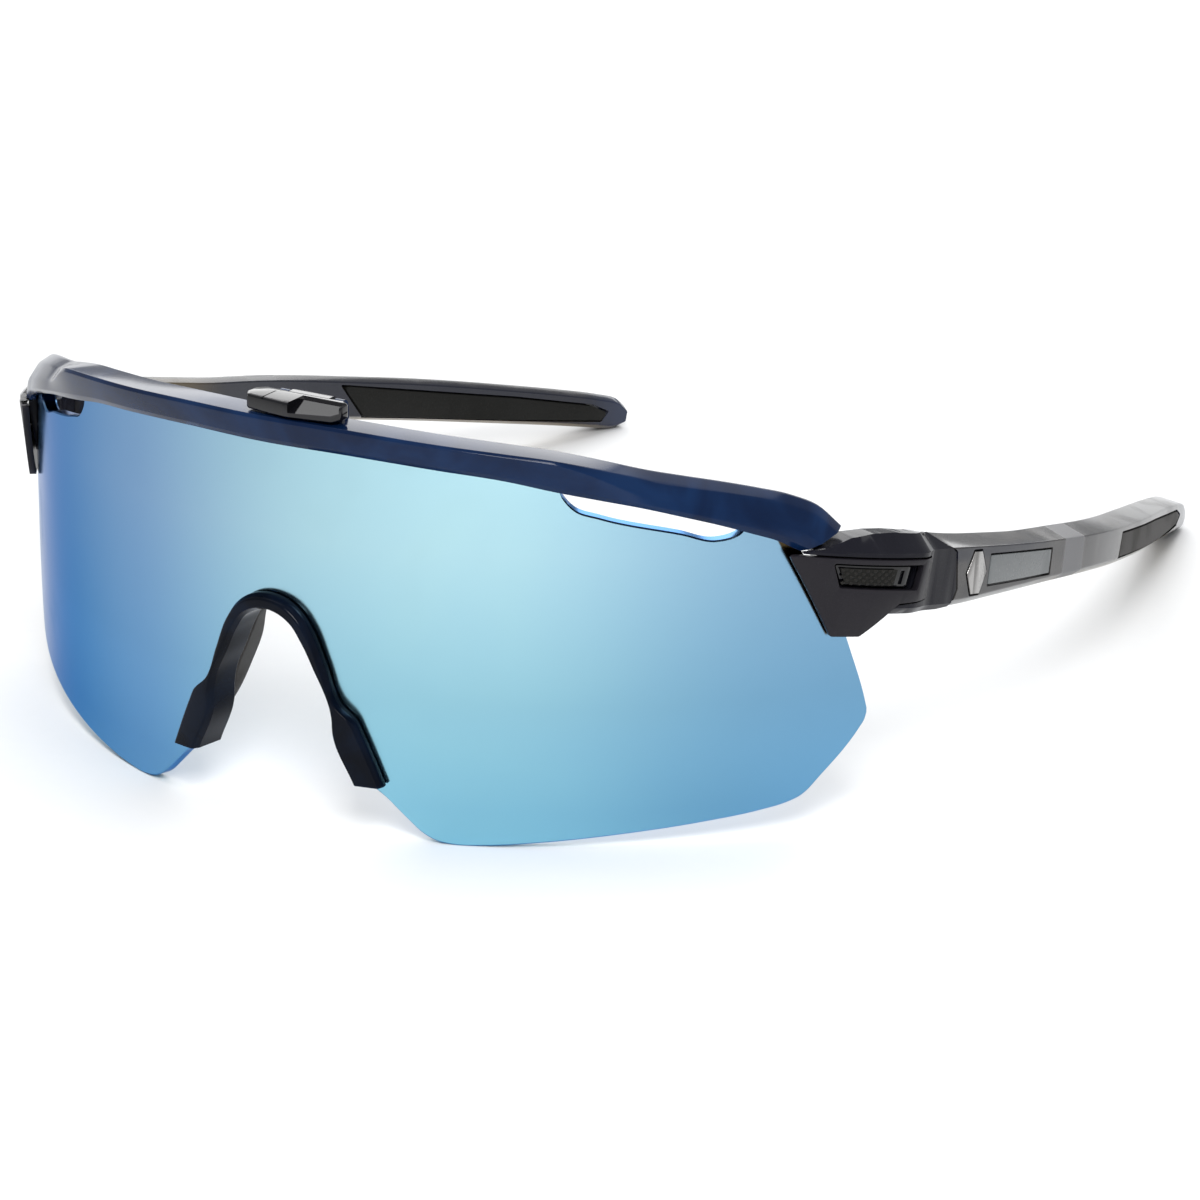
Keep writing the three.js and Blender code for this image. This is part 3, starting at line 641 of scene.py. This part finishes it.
# Painted light: a warm amber glow along the lower edge, where light gathers in the plastic.
low = maths(tree, "MULTIPLY", band(tree, up, -4.2, -5.4), band(tree, along, 30.0, 60.0))
smoke_with_painted_light = mixed_colour(tree, maths(tree, "MULTIPLY", low, 0.5), body, (0.30, 0.20, 0.06))
spot = node(tree, "SeparateXYZ", Vector=node(tree, "TexCoord").outputs["Object"]).outputs["X"]
facing = node(tree, "SeparateXYZ", Vector=node(tree, "TexCoord").outputs["Normal"]).outputs["X"]
inner = band(tree, maths(tree, "MULTIPLY", maths(tree, "SIGN", spot), facing), -0.3, -0.8)
# Painted shade: a dark band just under the crease, strongest towards the front.
painted_crease_shade = maths(tree, "MULTIPLY", band(tree, up, -1.3, 0.1), band(tree, up, 1.5, 0.7))
painted_crease_shade = maths(tree, "MULTIPLY", painted_crease_shade, band(tree, along, 44.0, 30.0, 0.0, 0.85))
# Painted shade: the crease band and the inner faces are mixed towards a dark blue-black.
shade = maths(tree, "MAXIMUM", painted_crease_shade, maths(tree, "MULTIPLY", inner, 0.9))
smoke_with_painted_light = mixed_colour(tree, shade, smoke_with_painted_light, (0.009, 0.011, 0.022))
frost = maths(tree, "MULTIPLY", frost, maths(tree, "SUBTRACT", 1.0, inner))
# Painted light: a warm glow high on the inner face, between about 10 and 40 mm along.
painted_inner_glow = maths(tree, "MULTIPLY", band(tree, along, 9.0, 16.0), band(tree, along, 40.0, 26.0))
painted_inner_glow = maths(tree, "MULTIPLY", painted_inner_glow, band(tree, up, -2.2, -0.4, 0.0, 0.6))
smoke_with_painted_light = mixed_colour(tree, maths(tree, "MULTIPLY", painted_inner_glow, inner), smoke_with_painted_light, (0.13, 0.09, 0.035))
tip = mixed_colour(tree, band(tree, along, 118.0, 130.0, 0.0, 0.6), smoke_with_painted_light, (0.02, 0.035, 0.085))
tree.links.new(mixed_colour(tree, maths(tree, "MULTIPLY", frost, 0.75), tip, (0.22, 0.22, 0.23)),
               shader.inputs["Base Color"])
loss = placed(tree, handling)["Gloss Loss"]
rough = maths(tree, "MAXIMUM", band(tree, loss, 0.0, 1.0, 0.12, 0.25),
              maths(tree, "MULTIPLY", frost, 0.5))
tree.links.new(rough, shader.inputs["Roughness"])
print("smoke finish:", smoke.name)


# %% [markdown]
# ## Dark plastics, rubber and metal
# The wings are satin charcoal with a fine spark-eroded grain. The latch and end blocks are
# polished and almost black. The grips are soft rubber with a speckled, nearly matt surface.
# Screws and badges are metal.

# %% Satin, black, rubber and metal finishes
def plain_plastic(name, dark, bright, low, high, size, depth, **settings):
    """Moulded plastic: two close tones, a fine grain and a gloss that varies with handling."""
    material, tree, shader = new_material(name, **settings)
    texture = placed(tree, grain, Size=size)
    tone = mixed_colour(tree, texture["Speckle"], dark, bright)
    # Sharp edges turn lighter: partly wear, partly a painted edge highlight.
    edge = maths(tree, "MULTIPLY", placed(tree, edges)["Edge"], 0.5)
    wear_and_highlight_tone = tuple(2.2 * c for c in bright)
    tree.links.new(mixed_colour(tree, edge, tone, wear_and_highlight_tone), shader.inputs["Base Color"])
    gloss(tree, shader, low, high)
    bumped(tree, shader, texture["Height"], depth)
    return material


charcoal = plain_plastic("wing_charcoal_satin", (0.011, 0.010, 0.013), (0.018, 0.016, 0.021),
                         0.36, 0.46, 0.18, 0.00002, Specular_IOR_Level=0.15)
block_smoke = plain_plastic("block_smoke_gloss", (0.003, 0.003, 0.005), (0.007, 0.007, 0.010),
                            0.12, 0.25, 0.4, 0.000004, Specular_IOR_Level=0.08)
gloss_black = plain_plastic("latch_black_gloss", (0.002, 0.002, 0.003), (0.004, 0.004, 0.006),
                            0.10, 0.2, 0.5, 0.000004, Specular_IOR_Level=0.4)
# Painted shade: a darker, less glossy copy of the latch black, for the scoop's hollow.
scoop_painted_shade = plain_plastic("scoop_black_painted_shade", (0.001, 0.001, 0.002), (0.002, 0.002, 0.004),
                            0.08, 0.15, 0.5, 0.000004, Specular_IOR_Level=0.03)
rubber = plain_plastic("grip_rubber", (0.005, 0.005, 0.004), (0.011, 0.010, 0.009),
                       0.62, 0.8, 0.3, 0.00006, Specular_IOR_Level=0.2)
patch_rubber = plain_plastic("patch_rubber", (0.034, 0.031, 0.029), (0.055, 0.051, 0.048),
                             0.6, 0.8, 0.3, 0.00006, Specular_IOR_Level=0.25)
steel = plain_plastic("screw_steel", (0.38, 0.38, 0.39), (0.48, 0.48, 0.49),
                      0.22, 0.4, 0.15, 0.00001, Metallic=1.0)
badge_metal = plain_plastic("badge_cast_metal", (0.16, 0.155, 0.15), (0.26, 0.255, 0.25),
                            0.25, 0.45, 0.35, 0.00004, Metallic=1.0)
inlay_grey = plain_plastic("inlay_grey_green", (0.070, 0.080, 0.084), (0.092, 0.104, 0.108),
                           0.25, 0.4, 0.4, 0.00001, Coat_Weight=0.25, Transmission_Weight=0.1)
print("materials:", len(bpy.data.materials))

# %% [markdown]
# ## Lens
# The shield is one sheet of even thickness. Its face is straight up and down, so upright strips
# follow it exactly. The outline's top edge dips twice for the vents and its bottom edge rises in
# the middle for the nose. A small chamfer runs round the whole edge.

# %% Make the lens
LENS_TOP = [(0, 57), (12, 56.9), (25, 55.9), (38, 54.1), (40.2, 53), (41.2, 50.4), (42.9, 48.5),
            (46.3, 47.3), (57.1, 44.7), (62.1, 43.4), (65.4, 44.2), (66.8, 45.7), (69.7, 44.6),
            (72.6, 42.6), (74.8, 39.4), (80.2, 29), (81.4, 25.5), (83.3, 19.4), (LENS_HALF, 17.3)]
LENS_BOTTOM = [(17, 5.9), (18.4, 4.6), (19.8, 3.3), (22.3, 1.2), (24, 0.4), (26.5, 0), (30.2, 0.1),
               (38.3, 0.8), (49.2, 1.9), (60.2, 3), (68.7, 4), (72, 4.6), (74.3, 5.4), (77.3, 8.1),
               (82.7, 14), (83.5, 15.2), (LENS_HALF, 16.2)]
NOSE = [(0, 31.1, 0, 33.4), (2.2, 30.6, 2.9, 32.8), (3.9, 29.4, 5, 31.3), (5.3, 27.3, 6.6, 29.1),
        (7.1, 23.6, 8.7, 24.2), (9, 19.7, 10.7, 19.1), (9.5, 17.2, 13, 17), (9.6, 15.2, 13.9, 15.2),
        (12.6, 8.1, 17, 8.1)]
SLOT_DEPTH = 1.5
LENS_CHAMFER = 0.22


def nose_slot(s0, z0, s1, z1):
    """Point inside the nose piece's slot, where the lens's edge stops."""
    share = SLOT_DEPTH / math.hypot(s1 - s0, z1 - z0)
    return s0 + (s1 - s0) * share, z0 + (z1 - z0) * share


def edge_height(rows, step=0.4):
    """A function giving the height of an outline at a distance along the lens."""
    points = eased(rows, step)
    return lambda s: np.interp(s, np.maximum.accumulate(points[:, 0]), points[:, 1])


lens_top = edge_height(LENS_TOP)
lens_bottom = edge_height([nose_slot(*row) for row in NOSE] + LENS_BOTTOM)
stations = np.concatenate([np.arange(0, 80, 0.4), np.arange(80, LENS_HALF + 0.01, 0.1)])
lens_rings = []
for s in np.concatenate([-stations[:0:-1], stations]):
    low, high = float(lens_bottom(abs(s))), float(lens_top(abs(s)))
    c = min(LENS_CHAMFER, 0.25 * (high - low))
    section = [(low + c, 0), (high - c, 0), (high, -c), (high, c - LENS_THICK), (high - c, -LENS_THICK),
               (low + c, -LENS_THICK), (low, c - LENS_THICK), (low, -c)]
    lens_rings.append([on_lens(s, height, out) for height, out in section])
LENS_STRIPS = [0, 1, 1, 1, 2, 1, 1, 1]
shield = skin(lens_rings, LENS_STRIPS)
add_piece("lens_shield", shield, "front", [lens_mirror, lens_edge, lens_back], ["lens"])

# %% [markdown]
# ## Brow bar
# The bar is one moulding. Over the nose it has a flat front band and a flat top with a crisp
# crease. Past the vents its highest line moves to the rear and its front slopes back, down to
# the end blocks. So the section changes along the bar, and the same loft covers both. The bar,
# grown a little, is kept as a cutter, so that the wings and end blocks clear it.

# %% Make the brow bar and its latch ears
BROW = [(0, 55, 0, 59.1), (12, 54.9, 12, 58.9), (25, 53.9, 25, 57.9), (34, 52.8, 34, 57),
        (40, 51.5, 40, 56.2), (46, 50.2, 46.5, 54.8), (52, 48.8, 52.8, 53.2), (57, 47.4, 58.5, 52),
        (62, 45.9, 63.6, 50.9), (66.3, 44.4, 68.8, 49.6), (70.3, 42.9, 73.4, 48.2),
        (72.2, 41.8, 77.2, 46.4), (73.4, 41.2, 80.8, 43)]
FLAT_BROW = [(0, 1.25, 0.15), (0.18, 1.75, 0.2), (0.9, 2.75, 0.25), (1, 2.4, 0.15), (1, -2.2, 0.5),
             (0.82, -3.2, 0.5), (0.15, -3.4, 0.5), (0, -3.1, 0.2)]
SLOPED_BROW = [(0, 1, 0.2), (0.14, 1.5, 0.4), (0.42, 1.2, 1.2), (0.8, -0.4, 1.6), (1, -2.5, 0.9),
               (0.85, -3.9, 0.7), (0.15, -4, 0.6), (0, -3.5, 0.2)]


def brow_outline(along, height, margin=0.0):
    """Outer shape of the bar's section as (up, out) points with their corner radii."""
    side = smoothstep(abs(along), 40, 54)
    points, radii = [], []
    for (h0, out0, r0), (h1, out1, r1) in zip(FLAT_BROW, SLOPED_BROW):
        out = out0 + (out1 - out0) * side
        points.append(((h0 + (h1 - h0) * side) * height, out + math.copysign(margin, out)))
        radii.append(r0 + (r1 - r0) * side)
    return points, radii


def brow_section(along, height):
    """The section with the lens groove, which opens downwards."""
    points, radii = brow_outline(along, height)
    back = -LENS_THICK - GAP
    points += [(0, back), (GROOVE, back), (GROOVE, GAP), (0, GAP)]
    return rounded(points, radii + [0.1, 0.1, 0.1, 0.1], steps=4)


def brow_loft(section):
    rings = []
    for s0, z0, s1, z1 in eased(both_halves(BROW, {0, 2}), 1.0):
        height = math.hypot(s1 - s0, z1 - z0)
        rings.append([on_lens(s0 + (s1 - s0) * p.x / height, z0 + (z1 - z0) * p.x / height, p.y)
                      for p in section((s0 + s1) / 2, height)])
    return skin(rings)


bar = brow_loft(brow_section)
BROW_CLEARANCE = 0.12
brow_room = brow_loft(
    lambda along, height: rounded(*brow_outline(along, height, BROW_CLEARANCE), steps=4))
brow_room.transform(Matrix.Translation((0, 0, -BROW_CLEARANCE)))


def latch_round(radius, x0, x1, sides=32):
    """Round bar across the glasses at the latch's pin."""
    turns = [2 * math.pi * k / sides for k in range(sides)]
    centre_y = LATCH_PIN_Y + CENTRE_SHIFT
    return skin([[Vector((x, centre_y + radius * math.cos(t), LATCH_PIN_Z + radius * math.sin(t)))
                  for t in turns] for x in (x0, x1)])


def upright_box(x0, x1, y0, y1, z0, z1):
    low, high = y0 + CENTRE_SHIFT, y1 + CENTRE_SHIFT
    corners = [(low, z0), (high, z0), (high, z1), (low, z1)]
    return skin([[Vector((x, y, z)) for y, z in corners] for x in (x0, x1)])


EAR_CENTRE, EAR_HALF = 4.4, 0.7
ears = []
for side in (-1, 1):
    x = LATCH_X + side * EAR_CENTRE
    ears += [latch_round(0.95, x - EAR_HALF, x + EAR_HALF),
             upright_box(x - EAR_HALF, x + EAR_HALF, 2.6, 4.9, 57.2, LATCH_PIN_Z)]
bar = combined(bar, ears, [latch_round(1.5, LATCH_X - 3.5, LATCH_X + 3.5),
                           latch_round(0.55, LATCH_X - 5.6, LATCH_X + 5.6)])
add_piece("brow_bar", bar, "front", [brow_navy], ["brow_frame"])

# %% [markdown]
# ## Nose piece and pads
# The nose piece is a soft arch with a U section that clips over the lens's edge, and each leg
# widens into a paddle. A rubber pad stands behind each leg, and rests on the nose.

# %% Make the nose piece
def nose_section(width):
    """U section across the leg as rounded (across, out) points."""
    back = -LENS_THICK - GAP
    points = [(0, 1.2), (0.5, 2.2), (width - 0.5, 2.2), (width, 1.2), (width, GAP), (1.2, GAP),
              (1.2, back), (width, back), (width, -3.1), (width - 0.4, -3.5), (0.5, -3.5), (0, -3)]
    radii = [0.3, 0.35, 0.45, 0.25, 0.08, 0.1, 0.1, 0.08, 0.2, 0.3, 0.3, 0.3]
    return rounded(points, radii)


nose_rings = []
for s0, z0, s1, z1 in eased(both_halves(NOSE, {0, 2}), 0.5):
    width = math.hypot(s1 - s0, z1 - z0)
    nose_rings.append([on_lens(s0 + (s1 - s0) * p.x / width, z0 + (z1 - z0) * p.x / width, p.y)
                       for p in nose_section(width)])
add_piece("nose_piece", skin(nose_rings), "front", [nose_navy], ["nose_clip"], sharp=40)

# %% Make the nose pads
PAD = [(28.6, 4.9, 5.7, 7.6), (26, 6, 7.3, 9.4), (22, 7.9, 9, 10.8), (18.5, 9.5, 10.4, 10.6),
       (15, 10.3, 11.5, 9.4), (11, 12.1, 13.2, 7.4), (9.2, 12.9, 13.9, 6.2)]
PAD_THICK = 1.7
pad_rows = eased(PAD, 0.5)
pad_rings = []
for i, (z, front, rear, rear_y) in enumerate(pad_rows):
    e = 0.5 * (1 - smoothstep(min(i, len(pad_rows) - 1 - i), 0, 3))
    y = on_lens(front + 1, z, -3.5 - GAP).y - CENTRE_SHIFT + 0.25
    t = PAD_THICK - e
    outline = [(front + e, y), (rear + e, rear_y - 0.5), (rear + 0.5, rear_y),
               (rear + t - 0.2, rear_y - 0.3),
               (front + t + 0.3, y + 0.4), (front + t, y)]
    pad_rings.append([Vector((p.x, p.y + CENTRE_SHIFT, z)) for p in rounded(outline, 0.4)])
add_pair("nose_pad", skin(pad_rings), "front", [patch_rubber], sharp=50)

# %% [markdown]
# ## Latch
# A small lever on top of the bar holds the lens in. Its left end is a low block with a flat top,
# and its right end is scooped out for the thumb, so a thin rim stands behind the scoop. The
# scoop's blacker finish, a darker copy of the lever's black that paints shade into the hollow,
# is listed on the lever, but the lever shows one black all over.

# %% Make the latch and its pin
LATCH_PLAN = [(-7.6, -0.4), (-6.8, -1.8), (-0.6, -2.5), (0.4, -2.5), (6.4, -1.5), (7.5, -0.3), (7.3, 1.5),
              (6.2, 2.3), (-6.2, 2.3), (-7.4, 1.4)]
plan = rounded([(LATCH_X + x, y + CENTRE_SHIFT) for x, y in LATCH_PLAN], 0.6)
cap = skin([[Vector((p.x, p.y, z)) for p in plan] for z in (LATCH_LOW, LATCH_HIGH)])
web = upright_box(LATCH_X - 3.2, LATCH_X + 3.2, 1.6, LATCH_PIN_Y, LATCH_LOW + 0.3, LATCH_HIGH - 0.4)
cap = combined(bevelled(cap, 0.4, 3), [web, latch_round(1.1, LATCH_X - 3.2, LATCH_X + 3.2)],
               [latch_round(0.55, LATCH_X - 5, LATCH_X + 5)])
SCOOP = [(-3.6, 59.9), (1.1, 61.15), (1.35, 61.45), (1.5, 63), (-3.6, 63)]
scoop = skin([[Vector((LATCH_X + x, y + CENTRE_SHIFT, z)) for y, z in SCOOP] for x in (0.2, 7.2)])
split = upright_box(LATCH_X - 4.2, LATCH_X - 4.0, -4, 1.2, 61.3, 63)
scoop.polygons.foreach_set("material_index", [1] * len(scoop.polygons))
for part in (cap, scoop, split):
    part.materials.clear()
    part.materials.append(gloss_black)
    part.materials.append(scoop_painted_shade)
cap = combined(cap, remove=[scoop, split])
add_piece("latch_lever", cap, "latch", [gloss_black, scoop_painted_shade],
          ["centre_latch"], sharp=28)
add_piece("latch_axle", latch_round(0.45, LATCH_X - 5, LATCH_X + 5), "front", [steel],
          ["latch_pin"])

# %% [markdown]
# ## Wing, end block and lock
# At each end a satin wing covers the lens's corner. Behind it the end block carries the hinge.
# A lock button slides in the wing's window, and its grip has rows of raised dots. The dots'
# paler rubber is listed on the grip, but the grip shows one rubber all over.

# %% Make the wings
WING = [(-19.9, 0.5), (1.2, 0.5), (1.8, -5.2), (-4.2, -5.7), (-8.7, -10.5), (-12.3, -10.7)]
WING_WINDOW = [(-14.9, -0.2), (-1.6, -0.2), (-1.6, -3.8), (-13.2, -3.65)]
SLIDER = [(-14.45, -0.55), (-3.4, -0.55), (-3.4, -3.45), (-12.9, -3.3)]
GRIP_PAD = [(-13.9, -0.85), (-5.9, -0.85), (-5.9, -3.15), (-12.65, -3.05)]
BEND_STEP = 1.0
wing = combined(plate(WING, -0.3, 0.7, 0.5), remove=[plate(WING_WINDOW, -2, 3, 0.3)])
wing = combined(bent(bevelled(wing, 0.15), BEND_STEP), remove=[brow_room])
add_pair("side_wing", wing, "front", [charcoal])

# %% Make the end blocks
BLOCK = [(-17, 0.85), (-16.1, 1.6), (-12.8, 2.9), (-9.4, 3.5), (-5.9, 3.7), (3.6, 3.5), (8.8, 0.8),
         (10.2, -4.5), (9, -6.9), (6.5, -7.2), (-4.5, -7.4), (-10.4, -7.4)]
BLOCK_TIP = [(-18.9, 0.85), (-16.1, 1.6), (-13.7, 2.5), (-13.7, 0.85)]
TOP_SLOPE = [(-3, -1.6), (-3, 8), (3.4, 8), (2.6, 3.75), (0, 1.4)]
LOW_SLOPE = [(-3, -5), (-0.6, -5.6), (0.9, -7.6), (3, -9), (-3, -9)]
block = combined(plate(BLOCK, 0, 5), [plate(BLOCK_TIP, -0.2, 0.7, 0.1)],
                 [rail(TOP_SLOPE, -30, 30), rail(LOW_SLOPE, -30, 30), plate(grown(WING, GAP), -3, 1),
                  plate(WING_WINDOW, -3, 2.4)])
block = bent(bevelled(block, 0.18), BEND_STEP)
hinge_ears = [side_round(KNUCKLE_R, 0.95, 3.45, 0.15), side_round(KNUCKLE_R, -7.1, -4.95, 0.15)]
block = combined(block, remove=[side_box((58, 71.05), (PIN_ALONG, 16), (-12, 12))])
block = combined(block, hinge_ears,
                 [side_box((58, 71.05), (-0.9, 16), (-4.9, 0.9)), side_round(KNUCKLE_R + 0.4, -4.9, 0.9),
                  side_round(PIN_R + 0.05, -9, 6), side_round(1.7, 2.85, 6)])
block = combined(block, remove=[brow_room])
add_pair("end_block", block, "front", [block_smoke])

# %% Make the lock buttons and their dotted grips
CATCH = [(-4.9, -1.1), (-4.3, -1.1), (-4.3, -3.0), (-4.9, -3.0)]
slider = combined(plate(SLIDER, 0.35, 2, 0.2), remove=[plate(CATCH, 0, 0.75, 0)])
slider = bent(bevelled(slider, 0.12), BEND_STEP)
add_pair("lock_slider", slider, "lock_", [gloss_black])
DOT_PITCH, DOT_RISE, DOT_R = 1.05, 0.18, 0.26
pad = plate(GRIP_PAD, -0.05, 0.05, 0.15)
work = bmesh.new()
work.from_mesh(pad)
for row in range(5):
    up = -1.1 - row * 0.46
    for column in range(7):
        along = -13.45 + column * DOT_PITCH + (row % 2) * DOT_PITCH / 2 + 0.12 * row
        if along < -6.1:
            dot = bmesh.ops.create_icosphere(work, subdivisions=2, radius=1)["verts"]
            for f in {f for v in dot for f in v.link_faces}:
                f.material_index = 1
            for v in dot:
                v.co = (along + v.co.x * DOT_R, up + v.co.y * DOT_R, -0.05 + v.co.z * DOT_RISE)
work.to_mesh(pad)
work.free()
add_pair("lock_grip", bent(pad, BEND_STEP), "lock_", [rubber, patch_rubber], sharp=60)

# %% Make the hinge screws
screw = combined(side_round(PIN_R, -6.9, 3), [side_round(1.4, 2.9, 3.45, 0.12)],
                 [side_box((PIN_X - 2, PIN_X + 2), (PIN_ALONG - 0.2, PIN_ALONG + 0.2), (3.15, 4))])
add_pair("hinge_screw", screw, "front", [steel])

# %% [markdown]
# ## Temples
# Each temple is one long moulding: a sharp outer crease high up, a sloping top and a softer
# underside. Pockets hold the badge, the inlay and the two rubber grips. A knuckle on its inner
# side turns on the screw.

# %% Make the temples
TEMPLE = [(2.5, 1.4, 3.3, -7.2), (12, 1.3, 2.7, -7.1), (23, 1.05, 2.3, -6.5), (35, 0.8, 2, -5.9),
          (47, 0.75, 2.1, -5.4), (59, 0.65, 2.1, -5.1), (71, 0.5, 2, -5.1), (83, 0.4, 1.9, -5.15),
          (95, 0.25, 1.6, -5.25), (107, 0, 1.1, -5.4), (117, -0.4, 0.6, -5.55), (125, -0.95, 0, -5.75),
          (129, -1.45, -0.6, -5.83), (131, -2.4, -1.8, -5.1)]
AHEAD_OF_GAP = [(-4, 8), (4.2, 8), (4.2, 3.45), (9.25, 0.85), (10.65, -4.5), (9.4, -7.3),
                (9, -9), (-4, -9)]
BADGE = [(12.6, -2.4), (14.2, 0.6), (16.4, 0.6), (18.4, -2.3), (16.9, -5.4), (14.4, -5.4)]
INLAY = [(19.6, -0.2), (40, -0.5), (40, -3.9), (19.6, -4.3)]
OUTER_GRIP = [(70.2, -3.8), (71.6, -0.4), (98, -0.9), (121, -1.7), (125, -2.6), (121, -3.7), (104, -4.2)]
INNER_GRIP = [(68.2, 0.6), (82, 0), (106, -0.8), (123, -1.8), (126.5, -2.8), (125.5, -4.2),
              (106, -4.4), (74, -4.3)]
TEMPLE_RADII = [0.35, 0.45, 0.4, 0.4, 0.6, 0.6, 0.5]
w = TEMPLE_THICK
temple_rings = []
for along, crease, top, bottom in eased(TEMPLE, 1.5):
    outline = [(crease, 0), (top, w - 1.2), (top - 0.8, w), (bottom + 0.8, w), (bottom, w - 1.3),
               (bottom, 1.5), (bottom + 1.2, 0)]
    temple_rings.append([Vector((along, p.x, p.y)) for p in rounded(outline, TEMPLE_RADII)])
temple = combined(skin(temple_rings), remove=[
    plate(AHEAD_OF_GAP, -2, 8, 0), plate(grown(BADGE, GAP), -1, 0.8), plate(grown(INLAY, GAP), -1, 0.7),
    plate(grown(OUTER_GRIP, GAP), -1, 0.9), plate(grown(INNER_GRIP, GAP), w - 1.3, w + 2)])
temple = combined(bent(temple, 3.0), [side_box((68.6, 70.7), (PIN_ALONG, 13), (-4.6, 0.6)),
                                      side_round(KNUCKLE_R, -4.6, 0.6, 0.15)],
                  [side_round(PIN_R + 0.05, -6, 2)])
add_pair("temple_arm", temple, "temple_", [smoke])

# %% Make the badge, inlay and rubber grips
badge = bevelled(plate(BADGE, -0.15, 0.5, 0.1), 0.3, 2)
add_pair("temple_badge", bent(badge, 3), "temple_", [badge_metal])
inlay = bevelled(plate(INLAY, 0.05, 0.4), 0.1)
add_pair("temple_inlay", bent(inlay, 3), "temple_", [inlay_grey])
outer = bevelled(plate(OUTER_GRIP, 0, 0.6, 0.6), 0.2)
add_pair("outer_grip", bent(outer, 3), "temple_", [patch_rubber])
inner = bevelled(plate(INNER_GRIP, w - 1, w + 0.25, 0.6), 0.25)
add_pair("inner_grip", bent(inner, 3), "temple_", [rubber])

# %% [markdown]
# ## Studio
# A pale floor and three soft boxes. The box behind the glasses draws the light top edges, the
# large one above keeps the floor bright, and a small one lights the floor in front, because the
# lens mirrors that floor.

# %% Floor, world and lights
FLOOR_SPANS = 40
floor_size = FLOOR_SPANS * max(cad_box[1] - cad_box[0])
floor_mesh = bpy.data.meshes.new("floor")
half = floor_size / 2
corners = [(-half, -half, 0), (half, -half, 0), (half, half, 0), (-half, half, 0)]
floor_mesh.from_pydata(corners, [], [(0, 1, 2, 3)])
floor = bpy.data.objects.new("floor", floor_mesh)
bpy.context.scene.collection.objects.link(floor)
floor_paper, tree, shader = new_material("floor_paper", Roughness=0.9, Specular_IOR_Level=0.1)
tone = mixed_colour(tree, placed(tree, grain, Size=2.0)["Height"],
                    (0.84, 0.845, 0.85), (0.86, 0.86, 0.86))
tree.links.new(tone, shader.inputs["Base Color"])
floor_mesh.materials.append(floor_paper)

world = bpy.data.worlds.new("studio")
world.use_nodes = True
world.node_tree.nodes["Background"].inputs["Color"].default_value = (0.97, 0.985, 1.0, 1)
world.node_tree.nodes["Background"].inputs["Strength"].default_value = 0.5
bpy.context.scene.world = world
bpy.context.scene.view_settings.view_transform = "Standard"


def soft_box(name, turn, rise, distance, size, power, aim=(0, 0, 0)):
    """A square of light at an angle round and above the point that it faces."""
    light = bpy.data.lights.new(name, "AREA")
    light.shape, light.size, light.size_y, light.energy = "RECTANGLE", size[0], size[1], power
    lamp = bpy.data.objects.new(name, light)
    t, r = math.radians(turn), math.radians(rise)
    back = Vector((math.sin(t) * math.cos(r), -math.cos(t) * math.cos(r), math.sin(r)))
    lamp.location = Vector(aim) + back * distance
    lamp.rotation_euler = back.to_track_quat("Z", "Y").to_euler()
    lamp.visible_camera = False
    bpy.context.scene.collection.objects.link(lamp)
    print(f"{name}: {power} W at {turn} degrees round, {rise} up")


soft_box("back_box", 211, 22, 1.6, (1.8, 0.6), 10)
soft_box("over_box", 211, 68, 1.5, (1.8, 1.8), 16)
soft_box("key_box", 38, 52, 0.45, (0.2, 0.2), 2.0, (0.055, -0.15, 0))
